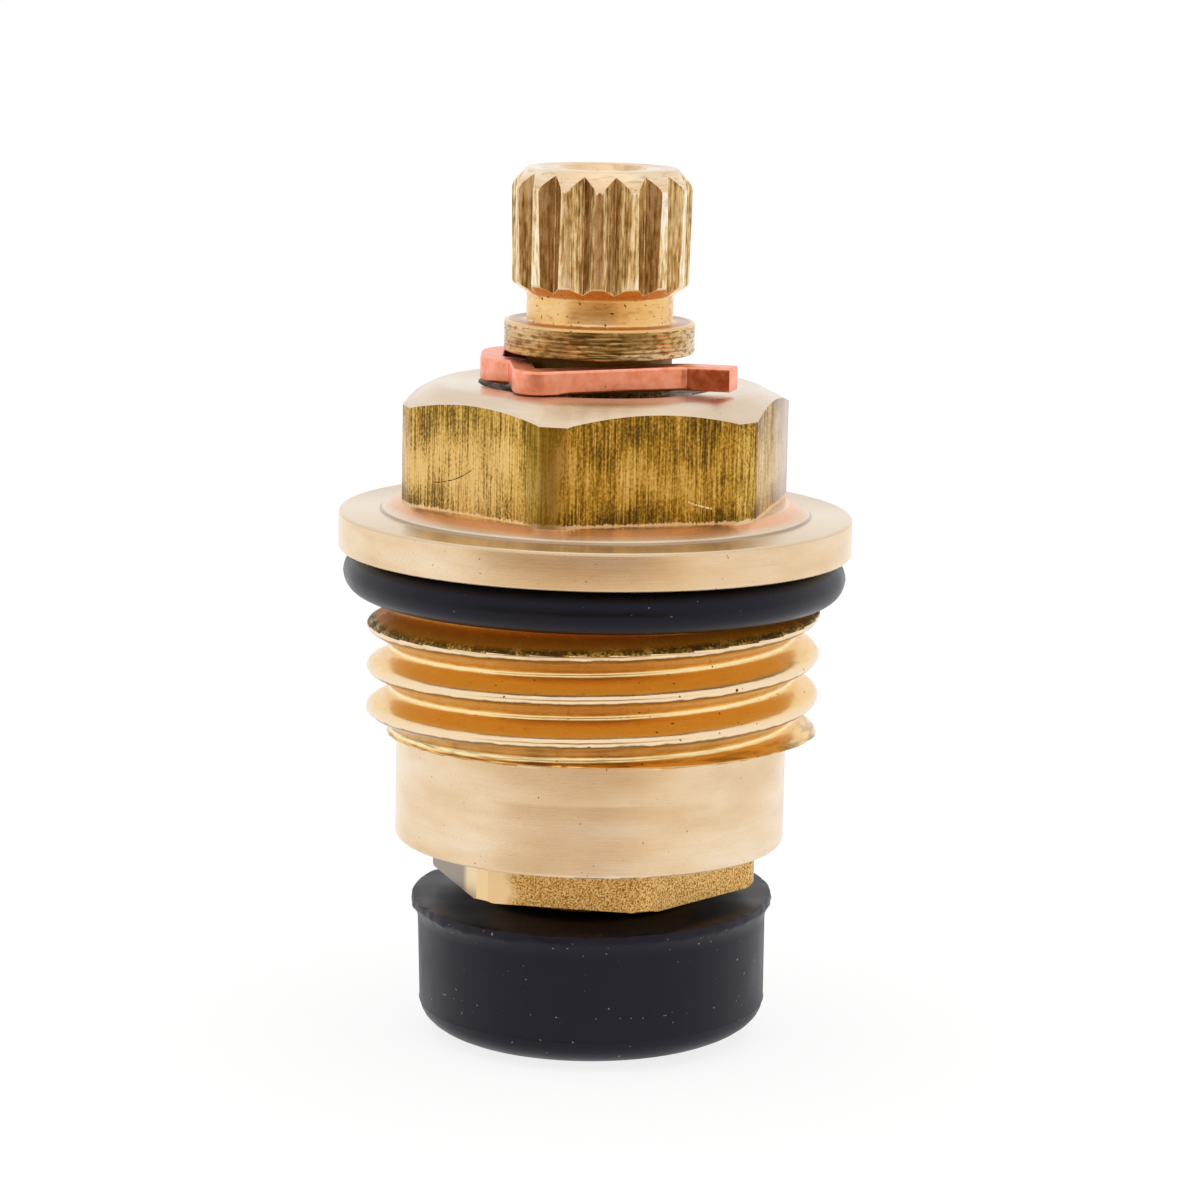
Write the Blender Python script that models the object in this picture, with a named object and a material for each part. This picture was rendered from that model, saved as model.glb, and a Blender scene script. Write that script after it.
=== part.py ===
"""Tap headwork: a non-rising spindle that screws a hexagonal slider and its tap washer up and down.

All sizes are in metres. +Z runs up the spindle's axis, and Z = 0 is the tap washer's sealing face.
"""

import math

import bmesh
import bpy
from mathutils import Matrix, Vector

# Clearances
CONTACT_GAP = 0.00005
BORE_CLEARANCE = 0.00007
GUIDE_CLEARANCE = 0.00025
DRIVE_CLEARANCE = 0.0001
CHAMBER_CLEARANCE = 0.0004
STOP_CLEARANCE = 0.0002

# How far the slider rises from the position shown
TRAVEL_UP = 0.0024

# Tap washer
TAP_WASHER_HEIGHT = 0.0067
TAP_WASHER_FOOT_RADIUS = 0.00807
TAP_WASHER_TOP_RADIUS = 0.00822
TAP_WASHER_LIP_RADIUS = 0.00847
TAP_WASHER_LIP_HEIGHT = 0.0008
TAP_WASHER_RIM_EDGE = 0.00018
TAP_WASHER_FOOT_EDGE_WIDTH = 0.00275
TAP_WASHER_FOOT_EDGE_HEIGHT = 0.0015
TAP_WASHER_RECESS_RADIUS = 0.0042
TAP_WASHER_WEB = 0.0034
RECESS_CHAMFER = 0.0003

# Screw and plain washer that hold the tap washer
SCREW_RADIUS = 0.00195
SCREW_HEAD_RADIUS = 0.003
SCREW_HEAD_HEIGHT = 0.0013
SCREW_SLOT_WIDTH = 0.0008
SCREW_SLOT_DEPTH = 0.00065
SCREW_CHAMFER = 0.0003
SCREW_END_GAP = 0.0003
PLATE_RADIUS = 0.00395
PLATE_THICKNESS = 0.00055

# Slider
SLIDER_ACROSS_FLATS = 0.0135
SLIDER_CORNER_RADIUS = 0.0076
SLIDER_CORNER_ANGLE = math.radians(-12.4)
SLIDER_CHAMFER = 0.0002
SLIDER_BOSS_RADIUS = 0.005
SLIDER_BOSS_HEIGHT = 0.0006
SLIDER_FLOOR = 0.00175

# Headwork body, from the skirt upwards
SKIRT_RADIUS = 0.009045
SKIRT_HEIGHT = 0.0046
SKIRT_EDGE = 0.0003
SKIRT_RELIEF_DEPTH = 0.00008
THREAD_RADIUS = 0.0104775
THREAD_LENGTH = 0.00625
THREAD_CHAMFER = 0.0009
NECK_RADIUS = 0.00955
FLANGE_RADIUS = 0.01183
FLANGE_THICKNESS = 0.00175
FLANGE_EDGE = 0.00012
FOOT_RADIUS = 0.00986
FOOT_HEIGHT = 0.0006
HEXAGON_HEIGHT = 0.00533
HEXAGON_ACROSS_FLATS = 0.0164
HEXAGON_CORNER_RADIUS = 0.0091
HEXAGON_CORNER_ANGLE = math.radians(17.7)
CROWN_FLAT_RADIUS = 0.0074
CROWN_BLEND_RADIUS = 0.0014
CROWN_SLOPE = math.radians(27)
BORE_CHAMFER = 0.0003
BORE_LENGTH = 0.00918

# Ring seals
FLANGE_RING_SECTION = 0.001
SPINDLE_RING_SECTION = 0.0006
RING_GROOVE_ROOM = 0.0004
UPPER_RING_DROP = 0.0026
LOWER_RING_DROP = 0.0058

# Spindle
SPINDLE_RADIUS = 0.00438
CLIP_GROOVE_RADIUS = 0.00335
CLIP_GROOVE_SINK = 0.0003
CLIP_GROOVE_LENGTH = 0.00151
COLLAR_HEIGHT = 0.0014
COLLAR_EDGE = 0.0001
SPINDLE_NECK_RADIUS = 0.00336
SPINDLE_NECK_HEIGHT = 0.00126
HEAD_HEIGHT = 0.0057
HEAD_TOP_RADIUS = 0.00412
HEAD_FOOT_RADIUS = 0.00404
HEAD_TOP_CHAMFER_WIDTH = 0.00066
HEAD_TOP_CHAMFER_HEIGHT = 0.00076
HEAD_TOP_ROUNDING = 0.00033
HEAD_FOOT_CHAMFER = 0.00047
HANDLE_SCREW_RADIUS = 0.00165
HANDLE_SCREW_MOUTH = 0.00205
HANDLE_SCREW_DEPTH = 0.0088
THRUST_FLANGE_WIDTH = 0.00182
THRUST_FLANGE_THICKNESS = 0.0013
DRIVE_RADIUS = 0.004
DRIVE_CHAMFER = 0.0004

# Splines of the spindle head
SPLINE_COUNT = 16
SPLINE_TOP_VALLEY = 0.0036
SPLINE_FOOT_VALLEY = 0.00363
CREST_SHARE_TOP = 0.2
CREST_SHARE_FOOT = 0.38
CREST_OVERRUN = 0.1
CREST_ANGLE = math.radians(-91.5)

# Thrust washer
THRUST_WASHER_INSET = 0.0001
THRUST_WASHER_THICKNESS = 0.0005

# Retaining clip, a spring of square wire that has a flared tail on its front leg only
CLIP_WIRE = 0.0011
CLIP_WIRE_EDGE = 0.00007
CLIP_LEG_ANGLE = math.radians(18.2)
CLIP_PINCH_X = 0.00385
CLIP_TIP_ANGLE = math.radians(-22)
CLIP_TIP_LENGTH = 0.0024
CLIP_REAR_END_X = 0.0041
CLIP_SHOULDER_X = -0.00325
CLIP_WAIST_GAP = 0.00015
CLIP_WAIST_ANGLE = math.radians(29)
CLIP_LOOP_X = -0.0048
CLIP_LOOP_Y = 0.00135
CLIP_SHOULDER_BEND = 0.00065
CLIP_WAIST_BEND = 0.0007
CLIP_LOOP_BEND = 0.0009
CLIP_PINCH_BEND = 0.001
CLIP_TILT = math.radians(1.9)
CLIP_TAIL_RISE = math.radians(4.8)

# Facets
BODY_STEPS = 64
SHAFT_STEPS = 40
RING_STEPS = 8
FLANGE_RING_STEPS = 12
BEND_STEPS = 4
WELD = 1e-7
OVERSHOOT = 0.001

# Heights along the axis, worked out from the sizes above
BOSS_FOOT_Z = TAP_WASHER_HEIGHT + CONTACT_GAP
SLIDER_FOOT_Z = BOSS_FOOT_Z + SLIDER_BOSS_HEIGHT
DRIVE_BORE_FLOOR_Z = SLIDER_FOOT_Z + SLIDER_FLOOR
SKIRT_FOOT_Z = TAP_WASHER_HEIGHT + TRAVEL_UP + STOP_CLEARANCE
THREAD_FOOT_Z = SKIRT_FOOT_Z + SKIRT_HEIGHT
THREAD_TOP_Z = THREAD_FOOT_Z + THREAD_LENGTH
FLANGE_RING_Z = THREAD_TOP_Z + 2 * CONTACT_GAP + 1.5 * FLANGE_RING_SECTION
FLANGE_FOOT_Z = FLANGE_RING_Z + FLANGE_RING_SECTION + CONTACT_GAP
FLANGE_TOP_Z = FLANGE_FOOT_Z + FLANGE_THICKNESS
HEXAGON_FOOT_Z = FLANGE_TOP_Z + FOOT_HEIGHT
BODY_TOP_Z = HEXAGON_FOOT_Z + HEXAGON_HEIGHT
THRUST_SHOULDER_Z = BODY_TOP_Z - BORE_LENGTH
THRUST_FLANGE_TOP_Z = THRUST_SHOULDER_Z - THRUST_WASHER_THICKNESS - 2 * CONTACT_GAP
THRUST_FLANGE_FOOT_Z = THRUST_FLANGE_TOP_Z - THRUST_FLANGE_THICKNESS
SLIDER_TOP_Z = THRUST_FLANGE_FOOT_Z - TRAVEL_UP - STOP_CLEARANCE
GUIDE_TOP_Z = SLIDER_TOP_Z + TRAVEL_UP + STOP_CLEARANCE / 2
DRIVE_FOOT_Z = DRIVE_BORE_FLOOR_Z + TRAVEL_UP + STOP_CLEARANCE
COLLAR_FOOT_Z = BODY_TOP_Z + CLIP_GROOVE_LENGTH
COLLAR_TOP_Z = COLLAR_FOOT_Z + COLLAR_HEIGHT
HEAD_FOOT_Z = COLLAR_TOP_Z + SPINDLE_NECK_HEIGHT
HEAD_TOP_Z = HEAD_FOOT_Z + HEAD_HEIGHT
BORE_RADIUS = SPINDLE_RADIUS + BORE_CLEARANCE
THRUST_FLANGE_RADIUS = SPINDLE_RADIUS + THRUST_FLANGE_WIDTH
RECESS_TOP_Z = TAP_WASHER_HEIGHT - TAP_WASHER_WEB


def clear_scene():
    for old in list(bpy.data.objects):
        bpy.data.objects.remove(old, do_unlink=True)


def make_material(name, colour, roughness, metallic):
    material = bpy.data.materials.new(name)
    material.use_nodes = True
    shader = material.node_tree.nodes["Principled BSDF"]
    shader.inputs["Base Color"].default_value = (*colour, 1.0)
    shader.inputs["Roughness"].default_value = roughness
    shader.inputs["Metallic"].default_value = metallic
    return material


def shade(mesh):
    mesh.shade_smooth()
    mesh.set_sharp_from_angle(angle=math.radians(25))


def add_piece(name, bm, material=None, parent=None):
    mesh = bpy.data.meshes.new(name)
    bm.to_mesh(mesh)
    bm.free()
    shade(mesh)
    piece = bpy.data.objects.new(name, mesh)
    if material:
        mesh.materials.append(material)
    piece.parent = parent
    bpy.context.scene.collection.objects.link(piece)
    return piece


def combine(piece, operation, other_bm):
    """Apply a Boolean with a closed mesh to the piece, then delete that mesh."""
    tool = add_piece(piece.name + "_tool", other_bm)
    modifier = piece.modifiers.new(operation.lower(), "BOOLEAN")
    modifier.solver = "EXACT"
    modifier.operation = operation
    modifier.object = tool
    graph = bpy.context.evaluated_depsgraph_get()
    mesh = bpy.data.meshes.new_from_object(piece.evaluated_get(graph))
    piece.modifiers.clear()
    piece.data = mesh
    shade(mesh)
    bpy.data.objects.remove(tool, do_unlink=True)


def arc(centre, radius, start, end, steps):
    """Points of an arc in the (radius, height) plane; the angles are in degrees."""
    points = []
    for step in range(steps + 1):
        angle = math.radians(start + (end - start) * step / steps)
        points.append((centre[0] + radius * math.cos(angle), centre[1] + radius * math.sin(angle)))
    return points


def turned(outline, steps):
    """Spin an outline of (radius, height) points about Z, leaving out an edge that lies on the axis."""
    bm = bmesh.new()
    verts = [bm.verts.new((radius, 0.0, height)) for radius, height in outline]
    edges = []
    for vert, after in zip(verts, verts[1:] + verts[:1]):
        if vert.co.x > WELD or after.co.x > WELD:
            edges.append(bm.edges.new((vert, after)))
    bmesh.ops.spin(
        bm, geom=verts + edges, cent=(0, 0, 0), axis=(0, 0, 1), angle=math.tau, steps=steps, use_merge=True
    )
    bmesh.ops.remove_doubles(bm, verts=bm.verts, dist=WELD)
    bmesh.ops.recalc_face_normals(bm, faces=bm.faces)
    return bm


def prism(outline, foot, top, chamfer=0.0):
    """Extrude an outline of (x, y) points from one height to another, with its end edges chamfered."""
    bm = bmesh.new()
    face = bm.faces.new([bm.verts.new((x, y, foot)) for x, y in outline])
    extruded = bmesh.ops.extrude_face_region(bm, geom=[face])
    raised = [item for item in extruded["geom"] if isinstance(item, bmesh.types.BMVert)]
    bmesh.ops.translate(bm, verts=raised, vec=(0, 0, top - foot))
    bmesh.ops.recalc_face_normals(bm, faces=bm.faces)
    if chamfer:
        ends = [edge for edge in bm.edges if abs(edge.verts[0].co.z - edge.verts[1].co.z) < WELD]
        bmesh.ops.bevel(
            bm, geom=ends, offset=chamfer, affect="EDGES", segments=1, profile=0.5, material=-1
        )
    return bm


def clipped_hexagon(across_flats, corner_radius, corner_angle, steps=2):
    """A hexagon whose corners are turned down to a radius."""
    flat_end = math.acos(min(1.0, across_flats / 2 / corner_radius))
    outline = []
    for corner in range(6):
        middle = corner_angle + corner * math.pi / 3
        spread = math.pi / 6 - flat_end
        for step in range(steps + 1):
            angle = middle + spread * (2 * step / steps - 1)
            outline.append((corner_radius * math.cos(angle), corner_radius * math.sin(angle)))
    return outline


def ring_seal(centre_radius, section, height, steps, ring_steps):
    outline = arc((centre_radius, height), section, 0, 360, ring_steps)[:-1]
    return turned(outline, steps)


def make_body(brass):
    skirt_corner = (SKIRT_RADIUS - SKIRT_EDGE, SKIRT_FOOT_Z + SKIRT_EDGE)
    relief_radius = SKIRT_RADIUS - SKIRT_RELIEF_DEPTH
    outline = [(0.0, SKIRT_FOOT_Z)]
    outline += arc(skirt_corner, SKIRT_EDGE, -90, 0, 3)
    outline += [
        (SKIRT_RADIUS, THREAD_FOOT_Z - 3 * SKIRT_EDGE),
        (relief_radius, THREAD_FOOT_Z - 2 * SKIRT_EDGE),
        (relief_radius, THREAD_FOOT_Z),
        (THREAD_RADIUS, THREAD_FOOT_Z + THREAD_CHAMFER),
        (THREAD_RADIUS, THREAD_TOP_Z - THREAD_CHAMFER / 2),
        (NECK_RADIUS, THREAD_TOP_Z),
        (NECK_RADIUS, FLANGE_FOOT_Z),
        (FLANGE_RADIUS - FLANGE_EDGE, FLANGE_FOOT_Z),
        (FLANGE_RADIUS, FLANGE_FOOT_Z + FLANGE_EDGE),
        (FLANGE_RADIUS, FLANGE_TOP_Z - FLANGE_EDGE),
        (FLANGE_RADIUS - FLANGE_EDGE, FLANGE_TOP_Z),
        (FOOT_RADIUS, FLANGE_TOP_Z),
        (HEXAGON_CORNER_RADIUS, HEXAGON_FOOT_Z),
        (0.0, HEXAGON_FOOT_Z),
    ]
    body = add_piece("headwork_body", turned(outline, BODY_STEPS), brass)

    hexagon = clipped_hexagon(HEXAGON_ACROSS_FLATS, HEXAGON_CORNER_RADIUS, HEXAGON_CORNER_ANGLE)
    combine(body, "UNION", prism(hexagon, FLANGE_FOOT_Z, BODY_TOP_Z))
    combine(body, "INTERSECT", crown_blank())
    combine(body, "DIFFERENCE", bore_tool())
    guide = clipped_hexagon(
        SLIDER_ACROSS_FLATS + 2 * GUIDE_CLEARANCE, SLIDER_CORNER_RADIUS + GUIDE_CLEARANCE, SLIDER_CORNER_ANGLE
    )
    combine(body, "DIFFERENCE", prism(guide, SKIRT_FOOT_Z - OVERSHOOT, GUIDE_TOP_Z))
    return body


def crown_blank():
    """The turned outside that chamfers the hexagon's top; it clears all that is lower."""
    clear_radius = FLANGE_RADIUS + OVERSHOOT
    blend_centre = (CROWN_FLAT_RADIUS, BODY_TOP_Z - CROWN_BLEND_RADIUS)
    blend = arc(blend_centre, CROWN_BLEND_RADIUS, 90 - math.degrees(CROWN_SLOPE), 90, 3)
    cone_drop = (clear_radius - blend[0][0]) * math.tan(CROWN_SLOPE)
    outline = [
        (0.0, SKIRT_FOOT_Z - OVERSHOOT),
        (clear_radius, SKIRT_FOOT_Z - OVERSHOOT),
        (clear_radius, blend[0][1] - cone_drop),
        *blend,
        (0.0, BODY_TOP_Z),
    ]
    return turned(outline, BODY_STEPS)


def bore_tool():
    """The spindle's bore and the wider chamber for its thrust flange."""
    chamber_radius = THRUST_FLANGE_RADIUS + CHAMBER_CLEARANCE
    outline = [
        (0.0, GUIDE_TOP_Z - OVERSHOOT),
        (chamber_radius, GUIDE_TOP_Z - OVERSHOOT),
        (chamber_radius, THRUST_SHOULDER_Z),
        (BORE_RADIUS, THRUST_SHOULDER_Z),
        (BORE_RADIUS, BODY_TOP_Z - BORE_CHAMFER),
        (BORE_RADIUS + BORE_CHAMFER + OVERSHOOT, BODY_TOP_Z + OVERSHOOT),
        (0.0, BODY_TOP_Z + OVERSHOOT),
    ]
    return turned(outline, SHAFT_STEPS)


def spindle_outline():
    """The spindle's turned outline, up its outer side and back down the handle screw's hole."""
    ring_core = BORE_RADIUS - 2 * SPINDLE_RING_SECTION - 2 * CONTACT_GAP
    half_room = SPINDLE_RING_SECTION + RING_GROOVE_ROOM / 2
    outline = [
        (0.0, DRIVE_FOOT_Z),
        (DRIVE_RADIUS - DRIVE_CHAMFER, DRIVE_FOOT_Z),
        (DRIVE_RADIUS, DRIVE_FOOT_Z + DRIVE_CHAMFER),
        (DRIVE_RADIUS, THRUST_FLANGE_FOOT_Z),
        (THRUST_FLANGE_RADIUS, THRUST_FLANGE_FOOT_Z),
        (THRUST_FLANGE_RADIUS, THRUST_FLANGE_TOP_Z),
        (SPINDLE_RADIUS, THRUST_FLANGE_TOP_Z),
    ]
    for drop in (LOWER_RING_DROP, UPPER_RING_DROP):
        middle = BODY_TOP_Z - drop
        outline += [
            (SPINDLE_RADIUS, middle - half_room),
            (ring_core, middle - half_room),
            (ring_core, middle + half_room),
            (SPINDLE_RADIUS, middle + half_room),
        ]
    outline += [
        (SPINDLE_RADIUS, BODY_TOP_Z - CLIP_GROOVE_SINK),
        (CLIP_GROOVE_RADIUS, BODY_TOP_Z - CLIP_GROOVE_SINK),
        (CLIP_GROOVE_RADIUS, COLLAR_FOOT_Z),
        (SPINDLE_RADIUS - COLLAR_EDGE, COLLAR_FOOT_Z),
        (SPINDLE_RADIUS, COLLAR_FOOT_Z + COLLAR_EDGE),
        (SPINDLE_RADIUS, COLLAR_TOP_Z - COLLAR_EDGE),
        (SPINDLE_RADIUS - COLLAR_EDGE, COLLAR_TOP_Z),
        (SPINDLE_NECK_RADIUS, COLLAR_TOP_Z),
        (SPINDLE_NECK_RADIUS, HEAD_FOOT_Z),
        (HEAD_FOOT_RADIUS, HEAD_FOOT_Z + HEAD_FOOT_CHAMFER),
        (HEAD_TOP_RADIUS, HEAD_TOP_Z - HEAD_TOP_CHAMFER_HEIGHT - HEAD_TOP_ROUNDING),
        (HEAD_TOP_RADIUS - HEAD_TOP_CHAMFER_WIDTH / 10, HEAD_TOP_Z - HEAD_TOP_CHAMFER_HEIGHT),
        (HEAD_TOP_RADIUS - HEAD_TOP_CHAMFER_WIDTH, HEAD_TOP_Z),
        (HANDLE_SCREW_MOUTH, HEAD_TOP_Z),
        (HANDLE_SCREW_RADIUS, HEAD_TOP_Z - (HANDLE_SCREW_MOUTH - HANDLE_SCREW_RADIUS)),
        (HANDLE_SCREW_RADIUS, HEAD_TOP_Z - HANDLE_SCREW_DEPTH + HANDLE_SCREW_RADIUS / 2),
        (0.0, HEAD_TOP_Z - HANDLE_SCREW_DEPTH),
    ]
    return outline


def spline_ring(valley_radius, crest_radius, crest_share, height):
    """Corner points of the toothed outline: a valley and the two crest edges beside it, tooth by tooth."""
    pitch = math.tau / SPLINE_COUNT
    half_groove = pitch / 2 * (1 - crest_share)
    points = []
    for tooth in range(SPLINE_COUNT):
        valley_angle = CREST_ANGLE + (tooth + 0.5) * pitch
        turn = Matrix.Rotation(valley_angle, 3, "Z")
        valley = Vector((valley_radius, 0.0, height))
        for side in (-1, 0, 1):
            across = side * crest_radius * math.sin(half_groove)
            edge = Vector((crest_radius * math.cos(half_groove), across, height))
            point = valley + (edge - valley) * (1 + CREST_OVERRUN) if side else valley
            points.append(turn @ point)
    return points


def spline_tool():
    """A sleeve round the spindle head, whose bore has the outline of the teeth: it cuts the V grooves."""
    foot = HEAD_FOOT_Z - SPINDLE_NECK_HEIGHT / 2
    top = HEAD_TOP_Z + OVERSHOOT
    bm = bmesh.new()
    inner_foot = [
        bm.verts.new(point)
        for point in spline_ring(SPLINE_FOOT_VALLEY, HEAD_FOOT_RADIUS, CREST_SHARE_FOOT, foot)
    ]
    inner_top = [
        bm.verts.new(point) for point in spline_ring(SPLINE_TOP_VALLEY, HEAD_TOP_RADIUS, CREST_SHARE_TOP, top)
    ]
    reach = HEAD_TOP_RADIUS + OVERSHOOT
    outer_foot = [bm.verts.new((*(vert.co.xy.normalized() * reach), foot)) for vert in inner_foot]
    outer_top = [bm.verts.new((*(vert.co.xy.normalized() * reach), top)) for vert in inner_top]
    loops = [inner_foot, inner_top, outer_top, outer_foot]
    count = len(inner_foot)
    for loop, beside in zip(loops, loops[1:] + loops[:1]):
        for index in range(count):
            after = (index + 1) % count
            bm.faces.new((loop[index], loop[after], beside[after], beside[index]))
    bmesh.ops.recalc_face_normals(bm, faces=bm.faces)
    return bm


def make_spindle(brass, axis):
    spindle = add_piece("spindle", turned(spindle_outline(), SHAFT_STEPS), brass, axis)
    combine(spindle, "DIFFERENCE", spline_tool())
    return spindle


def rounded_path(corners, bends):
    """A path through the corners in plan, with each corner but the first and last bent to its radius."""
    path = [corners[0]]
    for before, corner, after, bend_radius in zip(corners, corners[1:], corners[2:], bends):
        inward = (before - corner).normalized()
        outward = (after - corner).normalized()
        half_angle = inward.angle(outward) / 2
        reach = bend_radius / math.tan(half_angle)
        centre = corner + (inward + outward).normalized() * bend_radius / math.sin(half_angle)
        start = corner + inward * reach - centre
        end = corner + outward * reach - centre
        sweep = math.copysign(math.pi - 2 * half_angle, start.cross(end))
        for step in range(BEND_STEPS + 1):
            turn = Matrix.Rotation(sweep * step / BEND_STEPS, 2)
            path.append(centre + turn @ start)
    path.append(corners[-1])
    return path


def clip_path():
    """The middle line of the clip's wire in plan, from the front tip round the loop to the rear end."""
    leg_distance = CLIP_GROOVE_RADIUS + CONTACT_GAP + CLIP_WIRE / 2

    def leg_y(x):
        return -(leg_distance / math.cos(CLIP_LEG_ANGLE)) + x * math.tan(CLIP_LEG_ANGLE)

    pinch = Vector((CLIP_PINCH_X, leg_y(CLIP_PINCH_X)))
    tip = pinch + CLIP_TIP_LENGTH * Vector((math.cos(CLIP_TIP_ANGLE), math.sin(CLIP_TIP_ANGLE)))
    shoulder = Vector((CLIP_SHOULDER_X, leg_y(CLIP_SHOULDER_X)))
    waist = -(leg_distance + CLIP_WAIST_GAP) * Vector((math.cos(CLIP_WAIST_ANGLE), math.sin(CLIP_WAIST_ANGLE)))
    loop = Vector((CLIP_LOOP_X, -CLIP_LOOP_Y))
    rear_end = Vector((CLIP_REAR_END_X, -leg_y(CLIP_REAR_END_X)))
    around = [shoulder, waist, loop]
    rear = [Vector((point.x, -point.y)) for point in reversed(around)]
    bends = [CLIP_SHOULDER_BEND, CLIP_WAIST_BEND, CLIP_LOOP_BEND]
    return rounded_path([tip, pinch, *around, *rear, rear_end], [CLIP_PINCH_BEND, *bends, *bends[::-1]])


def swept_wire(path, width, edge, height):
    """Sweep a square section with broken edges along a flat path."""
    half = width / 2
    section = [
        (half, edge - half), (half, half - edge), (half - edge, half), (edge - half, half),
        (-half, half - edge), (-half, edge - half), (edge - half, -half), (half - edge, -half),
    ]
    bm = bmesh.new()
    rings = []
    for index, point in enumerate(path):
        ahead = path[min(index + 1, len(path) - 1)] - path[max(index - 1, 0)]
        side = Vector((ahead.y, -ahead.x)).normalized()
        rings.append(
            [bm.verts.new((*(point + side * across), height + up)) for across, up in section]
        )
    for ring, after in zip(rings, rings[1:]):
        for index in range(len(section)):
            beside = (index + 1) % len(section)
            bm.faces.new((ring[index], ring[beside], after[beside], after[index]))
    bm.faces.new(rings[0])
    bm.faces.new(rings[-1])
    bmesh.ops.recalc_face_normals(bm, faces=bm.faces)
    return bm


def make_clip(bronze, axis):
    path = clip_path()
    wire = swept_wire(path, CLIP_WIRE, CLIP_WIRE_EDGE, 0.0)
    bmesh.ops.rotate(wire, verts=wire.verts, cent=(0, 0, 0), matrix=Matrix.Rotation(CLIP_TILT, 3, "X"))
    for vert in wire.verts:
        if vert.co.x > CLIP_PINCH_X and vert.co.y < 0:
            vert.co.z += (vert.co.x - CLIP_PINCH_X) * math.tan(CLIP_TAIL_RISE)
    lowest = min(vert.co.z for vert in wire.verts)
    bmesh.ops.translate(wire, verts=wire.verts, vec=(0, 0, BODY_TOP_Z + CONTACT_GAP - lowest))
    return add_piece("retaining_clip", wire, bronze, axis)


def make_thrust_washer(plastic):
    foot = THRUST_FLANGE_TOP_Z + CONTACT_GAP
    top = foot + THRUST_WASHER_THICKNESS
    outer = THRUST_FLANGE_RADIUS - THRUST_WASHER_INSET
    outline = [(BORE_RADIUS, foot), (outer, foot), (outer, top), (BORE_RADIUS, top)]
    return add_piece("thrust_washer", turned(outline, SHAFT_STEPS), plastic)


def make_slider(brass, axis):
    hexagon = clipped_hexagon(SLIDER_ACROSS_FLATS, SLIDER_CORNER_RADIUS, SLIDER_CORNER_ANGLE)
    slider = add_piece("slider", prism(hexagon, SLIDER_FOOT_Z, SLIDER_TOP_Z, SLIDER_CHAMFER), brass, axis)
    boss = [
        (0.0, BOSS_FOOT_Z),
        (SLIDER_BOSS_RADIUS, BOSS_FOOT_Z),
        (SLIDER_BOSS_RADIUS, SLIDER_FOOT_Z + SLIDER_FLOOR / 2),
        (0.0, SLIDER_FOOT_Z + SLIDER_FLOOR / 2),
    ]
    combine(slider, "UNION", turned(boss, SHAFT_STEPS))
    bore = DRIVE_RADIUS + DRIVE_CLEARANCE
    tapped = SCREW_RADIUS + CONTACT_GAP
    hole = [
        (0.0, BOSS_FOOT_Z - OVERSHOOT),
        (tapped, BOSS_FOOT_Z - OVERSHOOT),
        (tapped, DRIVE_BORE_FLOOR_Z),
        (bore, DRIVE_BORE_FLOOR_Z),
        (bore, SLIDER_TOP_Z - DRIVE_CHAMFER),
        (bore + DRIVE_CHAMFER + OVERSHOOT, SLIDER_TOP_Z + OVERSHOOT),
        (0.0, SLIDER_TOP_Z + OVERSHOOT),
    ]
    combine(slider, "DIFFERENCE", turned(hole, SHAFT_STEPS))
    return slider


def make_tap_washer(rubber, axis):
    hole = SCREW_RADIUS + CONTACT_GAP
    lip_foot = TAP_WASHER_HEIGHT - TAP_WASHER_LIP_HEIGHT
    foot_flat = TAP_WASHER_FOOT_RADIUS - TAP_WASHER_FOOT_EDGE_WIDTH
    outline = [(TAP_WASHER_RECESS_RADIUS + RECESS_CHAMFER, 0.0)]
    for across, up in arc((0.0, 1.0), 1.0, -90, 0, 6):
        outline.append((foot_flat + across * TAP_WASHER_FOOT_EDGE_WIDTH, up * TAP_WASHER_FOOT_EDGE_HEIGHT))
    outline += [
        (TAP_WASHER_TOP_RADIUS, lip_foot),
        (TAP_WASHER_LIP_RADIUS, lip_foot + TAP_WASHER_LIP_HEIGHT / 2),
        (TAP_WASHER_LIP_RADIUS, TAP_WASHER_HEIGHT - TAP_WASHER_RIM_EDGE),
        (TAP_WASHER_LIP_RADIUS - TAP_WASHER_RIM_EDGE, TAP_WASHER_HEIGHT),
        (hole, TAP_WASHER_HEIGHT),
        (hole, RECESS_TOP_Z),
        (TAP_WASHER_RECESS_RADIUS, RECESS_TOP_Z),
        (TAP_WASHER_RECESS_RADIUS, RECESS_CHAMFER),
    ]
    return add_piece("tap_washer", turned(outline, BODY_STEPS), rubber, axis)


def make_washer_plate(brass, axis):
    hole = SCREW_RADIUS + CONTACT_GAP
    top = RECESS_TOP_Z - CONTACT_GAP
    outline = [
        (hole, top - PLATE_THICKNESS),
        (PLATE_RADIUS, top - PLATE_THICKNESS),
        (PLATE_RADIUS, top),
        (hole, top),
    ]
    return add_piece("washer_plate", turned(outline, SHAFT_STEPS), brass, axis)


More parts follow.
